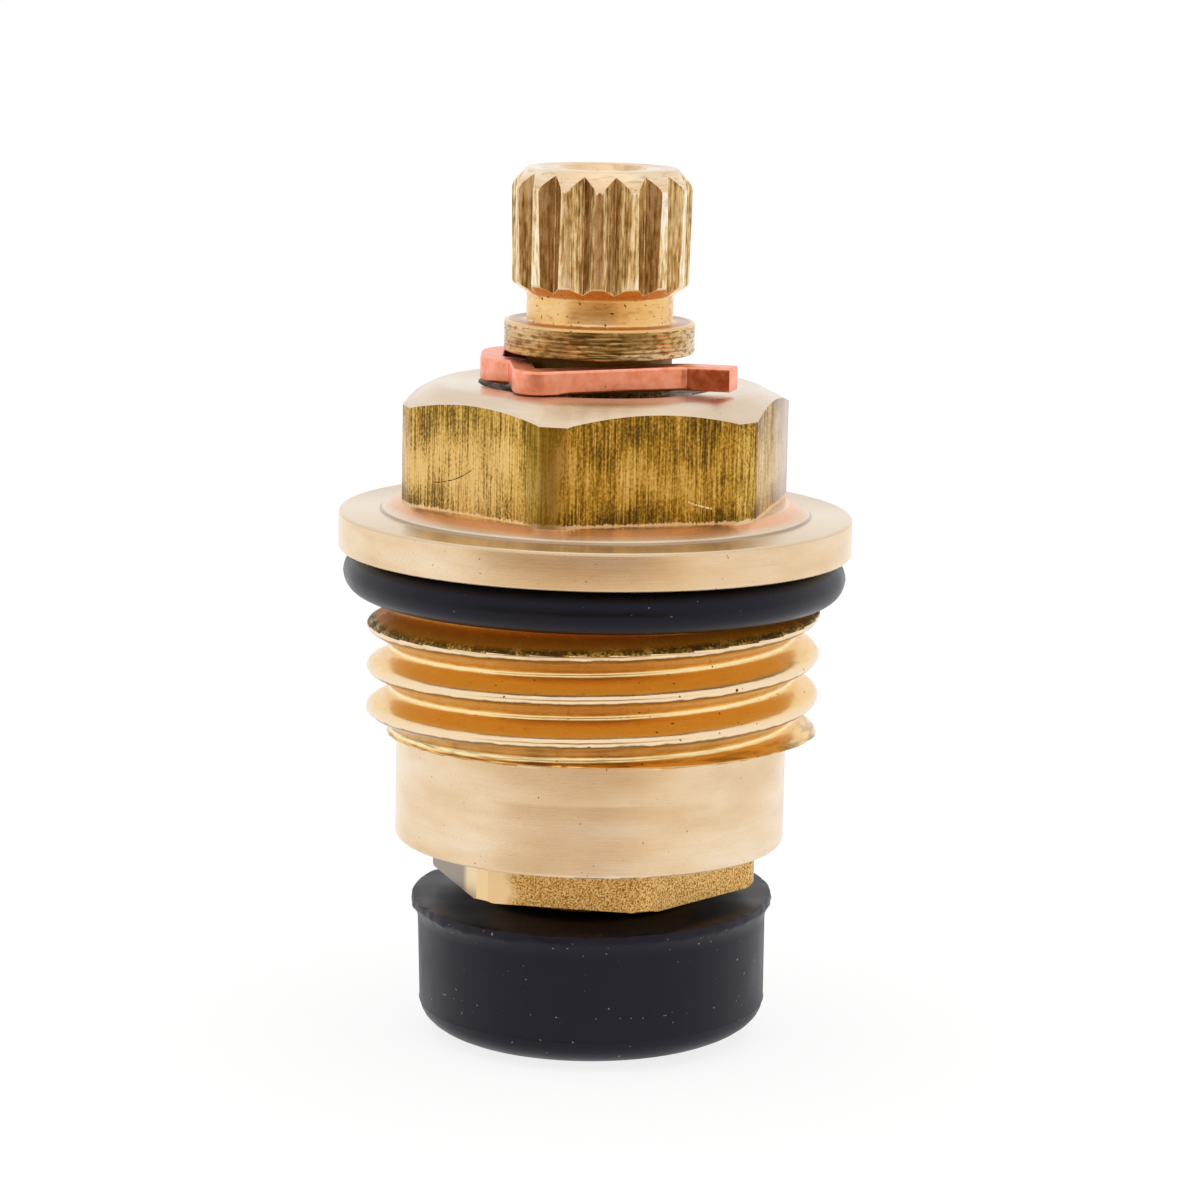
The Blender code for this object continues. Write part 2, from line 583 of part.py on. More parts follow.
def make_washer_screw(brass, axis):
    head_top = RECESS_TOP_Z - PLATE_THICKNESS - 2 * CONTACT_GAP
    head_foot = head_top - SCREW_HEAD_HEIGHT
    end = DRIVE_BORE_FLOOR_Z - SCREW_END_GAP
    outline = [
        (0.0, head_foot),
        (SCREW_HEAD_RADIUS - SCREW_CHAMFER, head_foot),
        (SCREW_HEAD_RADIUS, head_foot + SCREW_CHAMFER),
        (SCREW_HEAD_RADIUS, head_top),
        (SCREW_RADIUS, head_top),
        (SCREW_RADIUS, end - SCREW_CHAMFER),
        (SCREW_RADIUS - SCREW_CHAMFER, end),
        (0.0, end),
    ]
    screw = add_piece("washer_screw", turned(outline, SHAFT_STEPS), brass, axis)
    reach = SCREW_HEAD_RADIUS + OVERSHOOT
    half_slot = SCREW_SLOT_WIDTH / 2
    slot = [(-reach, -half_slot), (reach, -half_slot), (reach, half_slot), (-reach, half_slot)]
    combine(screw, "DIFFERENCE", prism(slot, head_foot - OVERSHOOT, head_foot + SCREW_SLOT_DEPTH))
    return screw


def make_axis(name):
    """An empty on the joint's axis, which carries a moving group."""
    axis = bpy.data.objects.new(name, None)
    axis.empty_display_size = HEAD_TOP_RADIUS
    bpy.context.scene.collection.objects.link(axis)
    return axis


def main():
    clear_scene()
    brass = make_material("brass", (0.80, 0.55, 0.25), 0.25, 1.0)
    bronze = make_material("phosphor_bronze", (0.83, 0.42, 0.28), 0.3, 1.0)
    rubber = make_material("nitrile_rubber", (0.02, 0.02, 0.025), 0.45, 0.0)
    plastic = make_material("acetal", (0.80, 0.80, 0.76), 0.4, 0.0)

    spindle_axis = make_axis("spindle_axis")
    slider_axis = make_axis("slider_axis")

    make_body(brass)
    neck_ring_radius = NECK_RADIUS + CONTACT_GAP + FLANGE_RING_SECTION
    add_piece(
        "flange_o_ring",
        ring_seal(neck_ring_radius, FLANGE_RING_SECTION, FLANGE_RING_Z, BODY_STEPS, FLANGE_RING_STEPS),
        rubber,
    )
    make_thrust_washer(plastic)

    make_spindle(brass, spindle_axis)
    make_clip(bronze, spindle_axis)
    seal_radius = BORE_RADIUS - CONTACT_GAP - SPINDLE_RING_SECTION
    for name, drop in (("spindle_o_ring_upper", UPPER_RING_DROP), ("spindle_o_ring_lower", LOWER_RING_DROP)):
        seal = ring_seal(seal_radius, SPINDLE_RING_SECTION, BODY_TOP_Z - drop, SHAFT_STEPS, RING_STEPS)
        add_piece(name, seal, rubber, spindle_axis)

    make_slider(brass, slider_axis)
    make_tap_washer(rubber, slider_axis)
    make_washer_plate(brass, slider_axis)
    make_washer_screw(brass, slider_axis)


main()
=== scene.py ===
import math

import bmesh
import bpy
from mathutils import Matrix, Vector, noise


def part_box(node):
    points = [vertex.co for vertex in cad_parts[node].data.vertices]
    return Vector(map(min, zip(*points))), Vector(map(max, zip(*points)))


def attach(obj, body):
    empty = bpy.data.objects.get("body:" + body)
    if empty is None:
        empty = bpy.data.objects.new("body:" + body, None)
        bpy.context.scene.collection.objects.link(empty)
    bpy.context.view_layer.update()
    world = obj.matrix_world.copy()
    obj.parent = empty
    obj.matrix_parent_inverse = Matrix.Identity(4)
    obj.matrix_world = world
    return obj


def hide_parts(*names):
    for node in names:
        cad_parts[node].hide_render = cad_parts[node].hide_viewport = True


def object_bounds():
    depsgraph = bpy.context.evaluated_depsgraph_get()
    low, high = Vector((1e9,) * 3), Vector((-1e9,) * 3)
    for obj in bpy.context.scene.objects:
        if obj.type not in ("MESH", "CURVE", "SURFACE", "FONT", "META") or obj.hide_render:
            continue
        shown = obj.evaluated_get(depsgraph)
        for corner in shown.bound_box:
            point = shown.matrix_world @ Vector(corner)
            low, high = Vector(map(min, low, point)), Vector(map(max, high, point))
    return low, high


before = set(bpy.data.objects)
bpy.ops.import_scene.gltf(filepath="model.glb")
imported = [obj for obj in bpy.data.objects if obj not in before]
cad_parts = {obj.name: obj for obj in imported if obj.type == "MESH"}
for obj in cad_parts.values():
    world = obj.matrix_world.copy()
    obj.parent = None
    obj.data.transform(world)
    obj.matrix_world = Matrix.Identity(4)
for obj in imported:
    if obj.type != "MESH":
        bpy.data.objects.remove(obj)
cadBounds = [list(corner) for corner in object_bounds()]
bodyTop = 7.68  # mm from the flange's foot to the top of the hexagon
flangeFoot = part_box("headwork_body")[1].z * 1000 - bodyTop  # mm above the frame's origin
weld = 1e-5  # mm within which two points are one
overshoot = 1  # mm that a cutter reaches past what it cuts
print("frame loaded")

# Sizes are in mm, angles in degrees, and heights are from the foot of the flange.
# finishPiece turns a piece to metres and puts it in the part's frame.


def toLinear(hexColour):
    channels = [int(hexColour[place:place + 2], 16) / 255 for place in (1, 3, 5)]
    return (*[c / 12.92 if c <= 0.04045 else ((c + 0.055) / 1.055) ** 2.4 for c in channels], 1.0)


def addNode(tree, kind, inputs=None, stops=(), **settings):
    # Adds a node with its settings, colour stops and inputs, and gives the output that the settings switch on.
    # By number, Map Range takes its value (0), its range (1, 2) and the range it gives (3, 4), and a Mix of
    # colours takes its share (0) and the two colours (6, 7).
    node = tree.nodes.new(kind)
    for name, value in settings.items():
        setattr(node, name, value)
    for index, (place, colour) in enumerate(stops):
        elements = node.color_ramp.elements
        element = elements[index] if index < 2 else elements.new(place)
        element.position = place
        element.color = toLinear(colour)
    for socket, value in (inputs or {}).items():
        if isinstance(value, bpy.types.NodeSocket):
            tree.links.new(value, node.inputs[socket])
        else:
            node.inputs[socket].default_value = value
    return next(output for output in node.outputs if output.enabled)


def startMaterial(name, values):
    # A new material, its tree, its shader with the values set, and the place in metres that patterns follow
    material = bpy.data.materials.new(name)
    material.use_nodes = True
    shader = material.node_tree.nodes["Principled BSDF"]
    for socket, value in values.items():
        shader.inputs[socket].default_value = value
    place = addNode(material.node_tree, "ShaderNodeTexCoord")
    return material, material.node_tree, shader, place.node.outputs["Object"]


def lifted(point):
    # A place in mm, with its height from the flange's foot, as metres in the part's frame
    return (point[0] / 1000, point[1] / 1000, (point[2] + flangeFoot) / 1000)


# Shapes

def turn(corners, steps, rounding=3):
    # Spins an outline of (radius, height) or (radius, height, edge radius) round the axis
    bm = bmesh.new()
    verts = [bm.verts.new((corner[0], 0, corner[1])) for corner in corners]
    for vert, after in zip(verts, verts[1:] + verts[:1]):
        if vert.co.x > weld or after.co.x > weld:
            bm.edges.new((vert, after))
    for size in sorted({corner[2] for corner in corners if len(corner) > 2}):
        chosen = [vert for vert, corner in zip(verts, corners) if corner[2:] == (size,)]
        bmesh.ops.bevel(bm, geom=chosen, offset=size, offset_type="OFFSET", affect="VERTICES",
                        segments=rounding, profile=0.5, material=-1)
    bmesh.ops.spin(bm, geom=bm.verts[:] + bm.edges[:], cent=(0, 0, 0), axis=(0, 0, 1),
                   angle=math.tau, steps=steps, use_merge=True)
    return settle(bm)


def settle(bm):
    bmesh.ops.remove_doubles(bm, verts=bm.verts, dist=weld)
    bmesh.ops.recalc_face_normals(bm, faces=bm.faces)
    return bm


def hexBar(acrossFlats, cornerAngle, foot, top):
    # A six-sided bar, turned so that one corner points at that angle from +X
    bm = bmesh.new()
    bmesh.ops.create_circle(bm, cap_ends=True, segments=6, radius=acrossFlats / math.sqrt(3))
    bmesh.ops.rotate(bm, verts=bm.verts, cent=(0, 0, 0),
                     matrix=Matrix.Rotation(math.radians(cornerAngle - 30), 3, "Z"))
    bmesh.ops.translate(bm, verts=bm.verts, vec=(0, 0, foot))
    pull(bm, bm.faces[:], (0, 0, top - foot), keep=True)
    return settle(bm)


def pull(bm, faces, vector, keep=False):
    # Draws faces out along a vector and gives the moved ones; the first ones stay only where they close an end
    out = bmesh.ops.extrude_face_region(bm, geom=faces)["geom"]
    bmesh.ops.translate(bm, verts=[item for item in out if isinstance(item, bmesh.types.BMVert)], vec=vector)
    if not keep:
        bmesh.ops.delete(bm, geom=faces, context="FACES_ONLY")
    return [item for item in out if isinstance(item, bmesh.types.BMFace)]


def combine(bm, operation, toolBm):
    # One Boolean, worked out by the modifier and read back
    pieces = []
    for source in (bm, toolBm):
        mesh = bpy.data.meshes.new("cut")
        source.to_mesh(mesh)
        source.free()
        pieces.append(bpy.data.objects.new("cut", mesh))
        bpy.context.scene.collection.objects.link(pieces[-1])
    modifier = pieces[0].modifiers.new("cut", "BOOLEAN")
    modifier.solver = "EXACT"
    modifier.operation = operation
    modifier.object = pieces[1]
    mesh = bpy.data.meshes.new_from_object(pieces[0].evaluated_get(bpy.context.evaluated_depsgraph_get()))
    result = bmesh.new()
    result.from_mesh(mesh)
    for piece in pieces:
        bpy.data.objects.remove(piece, do_unlink=True)
    bmesh.ops.remove_doubles(result, verts=result.verts, dist=weld)
    return result


def softenEdges(bm, width, chosen, angle=28, segments=2):
    # Rounds the edges that are sharper than the angle and whose middles the choice keeps
    edges = [edge for edge in bm.edges if edge.is_manifold and edge.calc_face_angle() > math.radians(angle)
             and chosen((edge.verts[0].co + edge.verts[1].co) / 2)]
    bmesh.ops.bevel(bm, geom=edges, offset=width, offset_type="OFFSET", affect="EDGES",
                    segments=segments, profile=0.5, material=-1, clamp_overlap=True)
    bmesh.ops.remove_doubles(bm, verts=bm.verts, dist=weld)


def cutRings(bm, low, high, radius, spacing):
    # Divides the wall between two rings of the outline, inside that radius, into a stack of fine rings
    walls = [edge for edge in bm.edges
             if {round(vert.co.z, 4) for vert in edge.verts} == {low, high}
             and all(vert.co.xy.length < radius for vert in edge.verts)]
    bmesh.ops.subdivide_edges(bm, edges=walls, cuts=int((high - low) / spacing), use_grid_fill=True)


def wave(share, crest, root):
    # 0 on a thread's crest and 1 in its root, with both rounded, for a share of the half pitch
    slope = 1 / (1 - (crest + root) / 2)
    if share < crest:
        return share * share / (2 * crest) * slope
    if share > 1 - root:
        return 1 - (1 - share) ** 2 / (2 * root) * slope
    return (share - crest / 2) * slope


def finishPiece(name, bm, materials, body, nodes, smooth=30, chooseMaterial=None):
    # Makes the object in the part's frame, with smooth shading below that angle, and gives it to its body
    if chooseMaterial:
        for face in bm.faces:
            face.material_index = chooseMaterial(face)
    bmesh.ops.translate(bm, verts=bm.verts, vec=(0, 0, flangeFoot))
    bmesh.ops.scale(bm, verts=bm.verts, vec=(0.001, 0.001, 0.001))
    mesh = bpy.data.meshes.new(name)
    bm.to_mesh(mesh)
    bm.free()
    for material in materials:
        mesh.materials.append(material)
    mesh.shade_smooth()
    mesh.set_sharp_from_angle(angle=math.radians(smooth))
    piece = bpy.data.objects.new(name, mesh)
    bpy.context.scene.collection.objects.link(piece)
    modifier = piece.modifiers.new("even shading", "WEIGHTED_NORMAL")
    modifier.keep_sharp = True
    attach(piece, body)
    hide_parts(*nodes)
    print(name, "done:", len(mesh.polygons), "faces")
    return piece


# Camera, fitted to the outlines of the flange, seal ring, skirt and head in the photograph

cameraLook = {"lens": 125.24, "sensor": 36, "distance": 192.8, "elevation": 9.386, "aimDown": 10.0934,
              "yaw": -0.0865, "roll": 1.227}
cameraData = bpy.data.cameras.new("photoCamera")
cameraData.lens = cameraLook["lens"]
cameraData.sensor_width = cameraLook["sensor"]
cameraData.clip_start = 0.01
camera = bpy.data.objects.new("photoCamera", cameraData)
bpy.context.scene.collection.objects.link(camera)
rise = math.radians(cameraLook["elevation"])
eye = Vector((0, -math.cos(rise), math.sin(rise))) * cameraLook["distance"] + Vector((0, 0, flangeFoot))
camera.matrix_world = (
    Matrix.Translation(eye * 0.001)
    @ Matrix.Rotation(math.radians(cameraLook["yaw"]), 4, "Z")
    @ Matrix.Rotation(math.radians(90 - cameraLook["aimDown"]), 4, "X")
    @ Matrix.Rotation(math.radians(cameraLook["roll"]), 4, "Z")
)
bpy.context.scene.camera = camera
bpy.context.scene.view_settings.view_transform = "Standard"
print("camera set")

# Studio: white floor and surroundings, one soft overhead lamp, and two cards that the camera doesn't see. The
# metal picks up their tan and brown: one lies in front of the part, the other stands behind that.

studio = {"floorGlow": 0.82, "floorColour": "#7C7C7C", "floorRadius": 4.0, "floorDrop": 0.00002,
          "worldStrength": 1.0, "lampSize": 0.5, "lampHeight": 0.55, "lampPower": 0.15,
          "frontCardWidth": 0.64, "frontCardTop": 0.06, "frontCardDistance": 0.168,
          "warmCardWidth": 0.44, "warmCardNear": 0.04, "warmCardFar": 0.167, "warmCardFade": 0.13,
          "warmCardLift": 0.0005}  # metres and watts


def stagePiece(name, bm, material):
    mesh = bpy.data.meshes.new(name)
    bm.to_mesh(mesh)
    bm.free()
    mesh.materials.append(material)
    piece = bpy.data.objects.new(name, mesh)
    bpy.context.scene.collection.objects.link(piece)
    return piece


def frontPaint():
    # Standing card: white at its sides, and brown from well left of its middle to a little right of it, where
    # it is darkest
    material, tree, shader, place = startMaterial("frontPaint", {"Roughness": 0.9, "Specular IOR Level": 0.2})
    axes = addNode(tree, "ShaderNodeSeparateXYZ", {"Vector": place}).node.outputs
    half = studio["frontCardWidth"] / 2
    across = addNode(tree, "ShaderNodeMapRange", {0: axes["X"], 1: -half, 2: half})
    tree.links.new(addNode(tree, "ShaderNodeValToRGB", {"Fac": across}, stops=[
        (0.0, "#FFFFFF"), (0.12, "#F0E4D0"), (0.24, "#A88450"), (0.36, "#9A7034"), (0.46, "#94662A"),
        (0.54, "#8C5E22"), (0.6, "#A27A40"), (0.67, "#E0CBA4"), (0.8, "#FFFFFF")]), shader.inputs["Base Color"])
    return material


def warmPaint():
    # Lying card: tan in the middle, fading to white at its sides and to cream towards the part
    material, tree, shader, place = startMaterial("warmPaint", {"Roughness": 0.9, "Specular IOR Level": 0.2})
    axes = addNode(tree, "ShaderNodeSeparateXYZ", {"Vector": place}).node.outputs
    aside = addNode(tree, "ShaderNodeMath", {0: axes["X"]}, operation="ABSOLUTE")
    across = addNode(tree, "ShaderNodeValToRGB", {"Fac": addNode(
        tree, "ShaderNodeMapRange", {0: aside, 1: 0.0, 2: studio["warmCardWidth"] / 2})},
        stops=[(0.0, "#D8AC60"), (0.2, "#EAD0A0"), (0.5, "#F3E7D3"), (1.0, "#FDF9F6")])
    fade = addNode(tree, "ShaderNodeMapRange", {0: axes["Y"], 1: -studio["warmCardFade"],
                                                2: -studio["warmCardNear"]})
    mixed = addNode(tree, "ShaderNodeMix", {0: fade, 6: across, 7: toLinear("#FBF4EA")}, data_type="RGBA")
    tree.links.new(mixed, shader.inputs["Base Color"])
    return material


def makeCard(name, width, depth, lean, centre, paint):
    bm = bmesh.new()
    bmesh.ops.create_grid(bm, x_segments=1, y_segments=1, size=0.5)
    bmesh.ops.scale(bm, verts=bm.verts, vec=(width, depth, 1))
    bmesh.ops.rotate(bm, verts=bm.verts, cent=(0, 0, 0), matrix=Matrix.Rotation(math.radians(lean), 3, "X"))
    bmesh.ops.translate(bm, verts=bm.verts, vec=centre)
    card = stagePiece(name, bm, paint)
    card.visible_camera = False
    card.visible_shadow = False
    card.visible_transmission = False


world = bpy.data.worlds.new("whiteStudio")
bpy.context.scene.world = world
world.use_nodes = True
world.node_tree.nodes["Background"].inputs["Color"].default_value = (1, 1, 1, 1)
world.node_tree.nodes["Background"].inputs["Strength"].default_value = studio["worldStrength"]

floorMaterial = bpy.data.materials.new("paleFloor")
floorMaterial.use_nodes = True
floorTree = floorMaterial.node_tree
floorTree.nodes.remove(floorTree.nodes["Principled BSDF"])
floorShine = addNode(floorTree, "ShaderNodeEmission", {"Strength": studio["floorGlow"]})
floorMatt = addNode(floorTree, "ShaderNodeBsdfDiffuse", {"Color": toLinear(studio["floorColour"])})
floorTree.links.new(addNode(floorTree, "ShaderNodeAddShader", {0: floorShine, 1: floorMatt}),
                    floorTree.nodes["Material Output"].inputs["Surface"])
floorBm = bmesh.new()
bmesh.ops.create_circle(floorBm, cap_ends=True, segments=96, radius=studio["floorRadius"])
bmesh.ops.translate(floorBm, verts=floorBm.verts, vec=(0, 0, cadBounds[0][2] - studio["floorDrop"]))
stagePiece("paleFloor", floorBm, floorMaterial)

makeCard("warmCard", studio["warmCardWidth"], studio["warmCardFar"] - studio["warmCardNear"], 0,
         (0, -(studio["warmCardNear"] + studio["warmCardFar"]) / 2, studio["warmCardLift"]), warmPaint())
makeCard("frontCard", studio["frontCardWidth"], studio["frontCardTop"], 90,
         (0, -studio["frontCardDistance"], studio["frontCardTop"] / 2), frontPaint())

lampData = bpy.data.lights.new("softLamp", "AREA")
lampData.size = studio["lampSize"]
lampData.energy = studio["lampPower"]
lamp = bpy.data.objects.new("softLamp", lampData)
bpy.context.scene.collection.objects.link(lamp)
lamp.location = (0, 0, studio["lampHeight"])
print("studio set")


# Materials

def stretchedNoise(tree, place, across, up, detail):
    # Noise with blotches of those sizes in mm across the axis and along it, on a place in metres
    grid = (1000 / across, 1000 / across, 1000 / up)
    vector = addNode(tree, "ShaderNodeVectorMath", {0: place, 1: grid}, operation="MULTIPLY")
    return addNode(tree, "ShaderNodeTexNoise", {"Vector": vector, "Scale": 1.0, "Detail": detail})


def acrossRings(tree, place):
    # The direction across turning marks, which draw every reflection out that way
    axes = addNode(tree, "ShaderNodeSeparateXYZ", {"Vector": place}).node.outputs
    back = addNode(tree, "ShaderNodeMath", {0: axes["Y"], 1: -1.0}, operation="MULTIPLY")
    ring = addNode(tree, "ShaderNodeVectorTransform", {"Vector": addNode(
        tree, "ShaderNodeCombineXYZ", {"X": back, "Y": axes["X"]})},
        vector_type="VECTOR", convert_from="OBJECT", convert_to="WORLD")
    normal = addNode(tree, "ShaderNodeNewGeometry").node.outputs["Normal"]
    across = addNode(tree, "ShaderNodeVectorMath", {0: normal, 1: ring}, operation="CROSS_PRODUCT")
    return addNode(tree, "ShaderNodeVectorMath", {0: across}, operation="NORMALIZE")


def turnedBrass(name, look):
    # Free-cutting brass off the lathe: bright warm gold, fine rings round the axis, stains and small pits
    material, tree, shader, place = startMaterial(name, {"Metallic": 1.0, "Anisotropic": 0.85})
    tree.links.new(acrossRings(tree, place), shader.inputs["Tangent"])
    axes = addNode(tree, "ShaderNodeSeparateXYZ", {"Vector": place}).node.outputs
    spoke = addNode(tree, "ShaderNodeCombineXYZ", {"X": axes["X"], "Y": axes["Y"]})
    radius = addNode(tree, "ShaderNodeVectorMath", {0: spoke}, operation="LENGTH")
    # Height less radius grows up a wall and in over a flat face, so both carry rings
    along = addNode(tree, "ShaderNodeMath", {0: axes["Z"], 1: radius}, operation="SUBTRACT")
    lathe = addNode(tree, "ShaderNodeCombineXYZ", {"X": axes["X"], "Y": axes["Y"], "Z": along})
    rings = stretchedNoise(tree, lathe, look["ringLength"], look["ringPitch"], 2.0)
    colour = addNode(tree, "ShaderNodeValToRGB", {"Fac": stretchedNoise(tree, lathe, *look["cloudSize"], 3.0)},
                     stops=[(0.3, look["deep"]), (0.52, look["main"]), (0.75, look["pale"])])
    scratch = addNode(tree, "ShaderNodeValToRGB", {"Fac": rings},
                      stops=[(0.28, look["mark"]), (0.45, "#FFFFFF")])
    colour = addNode(tree, "ShaderNodeMix", {0: look["markShare"], 6: colour, 7: scratch},
                     data_type="RGBA", blend_type="MULTIPLY")
    blotches = stretchedNoise(tree, lathe, look["stainSize"] * 2.5, look["stainSize"], 5.0)
    stain = addNode(tree, "ShaderNodeMapRange", {0: blotches, 1: look["stainLevel"],
                                                 2: look["stainLevel"] + 0.14, 4: look["stainShare"]})
    colour = addNode(tree, "ShaderNodeMix", {0: stain, 6: colour, 7: toLinear(look["stain"])}, data_type="RGBA")
    spots = addNode(tree, "ShaderNodeTexNoise", {"Vector": place, "Scale": 1000 / look["pitSize"], "Detail": 1.0})
    pits = addNode(tree, "ShaderNodeMapRange", {0: spots, 1: look["pitLevel"], 2: look["pitLevel"] + 0.04})
    colour = addNode(tree, "ShaderNodeMix", {0: pits, 6: colour, 7: toLinear(look["pit"])}, data_type="RGBA")
    if "darkReflection" in look:
        # Painted dark reflection in streaks, strongest in the middle and thinning out to both sides
        darkReflection = look["darkReflection"]
        aside = addNode(tree, "ShaderNodeMath", {0: axes["X"]}, operation="ABSOLUTE")
        middle = addNode(tree, "ShaderNodeMapRange", {0: aside, 1: darkReflection["reach"][0] / 1000,
                                                      2: darkReflection["reach"][1] / 1000, 3: darkReflection["share"], 4: 0.0})
        streaked = addNode(tree, "ShaderNodeMapRange", {
            0: stretchedNoise(tree, lathe, *darkReflection["streaks"], 3.0), 1: 0.38, 2: 0.58})
        share = addNode(tree, "ShaderNodeMath", {0: middle, 1: streaked}, operation="MULTIPLY")
        colour = addNode(tree, "ShaderNodeMix", {0: share, 6: colour, 7: toLinear(darkReflection["colour"])},
                         data_type="RGBA")
    for near, far, share, paint, ceiling in look.get("bands", ()):
        # Paint that fades in between two distances from the axis, on faces that look up below the ceiling
        band = addNode(tree, "ShaderNodeMapRange", {0: radius, 1: near / 1000, 2: far / 1000, 4: share})
        facing = addNode(tree, "ShaderNodeNewGeometry").node.outputs["Normal"]
        upward = addNode(tree, "ShaderNodeMapRange", {0: addNode(
            tree, "ShaderNodeSeparateXYZ", {"Vector": facing}).node.outputs["Z"], 1: 0.3, 2: 0.6})
        low = addNode(tree, "ShaderNodeMath", {0: axes["Z"], 1: (flangeFoot + ceiling) / 1000},
                      operation="LESS_THAN")
        held = addNode(tree, "ShaderNodeMath", {0: addNode(
            tree, "ShaderNodeMath", {0: band, 1: upward}, operation="MULTIPLY"), 1: low}, operation="MULTIPLY")
        colour = addNode(tree, "ShaderNodeMix", {0: held, 6: colour, 7: toLinear(paint)}, data_type="RGBA")
    tree.links.new(colour, shader.inputs["Base Color"])
    haze = addNode(tree, "ShaderNodeMath", {0: stain, 1: 0.25, 2: rings}, operation="MULTIPLY_ADD")
    tree.links.new(addNode(tree, "ShaderNodeMapRange", {0: haze, 3: look["gloss"], 4: look["dull"]}),
                   shader.inputs["Roughness"])
    grain = addNode(tree, "ShaderNodeMath", {0: rings, 1: pits}, operation="SUBTRACT")
    tree.links.new(addNode(tree, "ShaderNodeBump", {"Height": grain, "Distance": look["ringDepth"]}),
                   shader.inputs["Normal"])
    return material


def paintedShadeCoat(name, look):
    # Painted shade on brass in recesses: matt, dark olive brown, with grains of clean metal showing
    material, tree, shader, place = startMaterial(name, {"Metallic": 0.35, "Specular IOR Level": 0.15})
    axes = addNode(tree, "ShaderNodeSeparateXYZ", {"Vector": place}).node.outputs
    grains = addNode(tree, "ShaderNodeTexNoise", {"Vector": place, "Scale": 1000 / look["grainSize"],
                                                  "Detail": 3.0})
    clouds = addNode(tree, "ShaderNodeTexNoise", {"Vector": place, "Scale": 1000 / look["cloudSize"],
                                                  "Detail": 4.0})
    level = addNode(tree, "ShaderNodeMath", {0: addNode(
        tree, "ShaderNodeMath", {0: grains, 1: clouds}, operation="ADD"), 1: 0.5}, operation="MULTIPLY")
    colour = addNode(tree, "ShaderNodeValToRGB", {"Fac": level}, stops=[
        (0.42, look["deep"]), (0.52, look["main"]), (0.6, look["grain"])])
    # Painted light above a line that may slope across the part: a lighter rim to the mouth, and a bright orange
    # band of bounced light at the thread's top
    height = addNode(tree, "ShaderNodeMath", {0: axes["Z"], 1: 1000.0, 2: -flangeFoot}, operation="MULTIPLY_ADD")
    sloped = addNode(tree, "ShaderNodeMath", {0: axes["X"], 1: -1000 * look["slope"], 2: height},
                     operation="MULTIPLY_ADD")
    paintedLight = addNode(tree, "ShaderNodeMapRange", {0: sloped, 1: look["paintedLightFrom"][0], 2: look["paintedLightFrom"][1],
                                                 4: look["paintedLightShare"]})
    colour = addNode(tree, "ShaderNodeMix", {0: paintedLight, 6: colour, 7: toLinear(look["paintedLight"])}, data_type="RGBA")
    tree.links.new(colour, shader.inputs["Base Color"])
    tree.links.new(addNode(tree, "ShaderNodeMapRange", {0: level, 1: 0.4, 2: 0.6, 3: look["dull"],
                                                        4: look["gloss"]}), shader.inputs["Roughness"])
    tree.links.new(addNode(tree, "ShaderNodeBump", {"Height": grains, "Distance": look["grainDepth"]}),
                   shader.inputs["Normal"])
    return material


def drawnBrass(name, look):
    # Brass left as it was drawn or rolled: streaks along it under a speckled brown tarnish, which takes a
    # little of the metal's shine
    material, tree, shader, place = startMaterial(name, {"Metallic": 0.92})
    streaks = stretchedNoise(tree, place, look["streakWidth"], look["streakLength"], 3.0)
    clouds = stretchedNoise(tree, place, *look["cloudSize"], 6.0)
    speckle = stretchedNoise(tree, place, *look["speckleSize"], 3.0)
    fine = addNode(tree, "ShaderNodeMath", {0: streaks, 1: speckle}, operation="ADD")
    level = addNode(tree, "ShaderNodeMath", {0: clouds, 1: 0.24, 2: addNode(
        tree, "ShaderNodeMath", {0: fine, 1: 0.38}, operation="MULTIPLY")}, operation="MULTIPLY_ADD")
    colour = addNode(tree, "ShaderNodeValToRGB", {"Fac": level}, stops=[
        (0.4, look["dark"]), (0.46, look["olive"]), (0.51, look["main"]), (0.58, look["pale"])])
    blotches = stretchedNoise(tree, place, look["stainSize"], look["stainSize"], 6.0)
    stain = addNode(tree, "ShaderNodeMapRange", {0: blotches, 1: look["stainLevel"],
                                                 2: look["stainLevel"] + 0.12, 4: look["stainShare"]})
    colour = addNode(tree, "ShaderNodeMix", {0: stain, 6: colour, 7: toLinear(look["stain"])}, data_type="RGBA")
    tree.links.new(colour, shader.inputs["Base Color"])
    tree.links.new(addNode(tree, "ShaderNodeMapRange", {0: level, 1: 0.3, 2: 0.7, 3: look["dull"],
                                                        4: look["gloss"]}), shader.inputs["Roughness"])
    tree.links.new(addNode(tree, "ShaderNodeBump", {"Height": fine, "Distance": look["streakDepth"]}),
                   shader.inputs["Normal"])
    return material


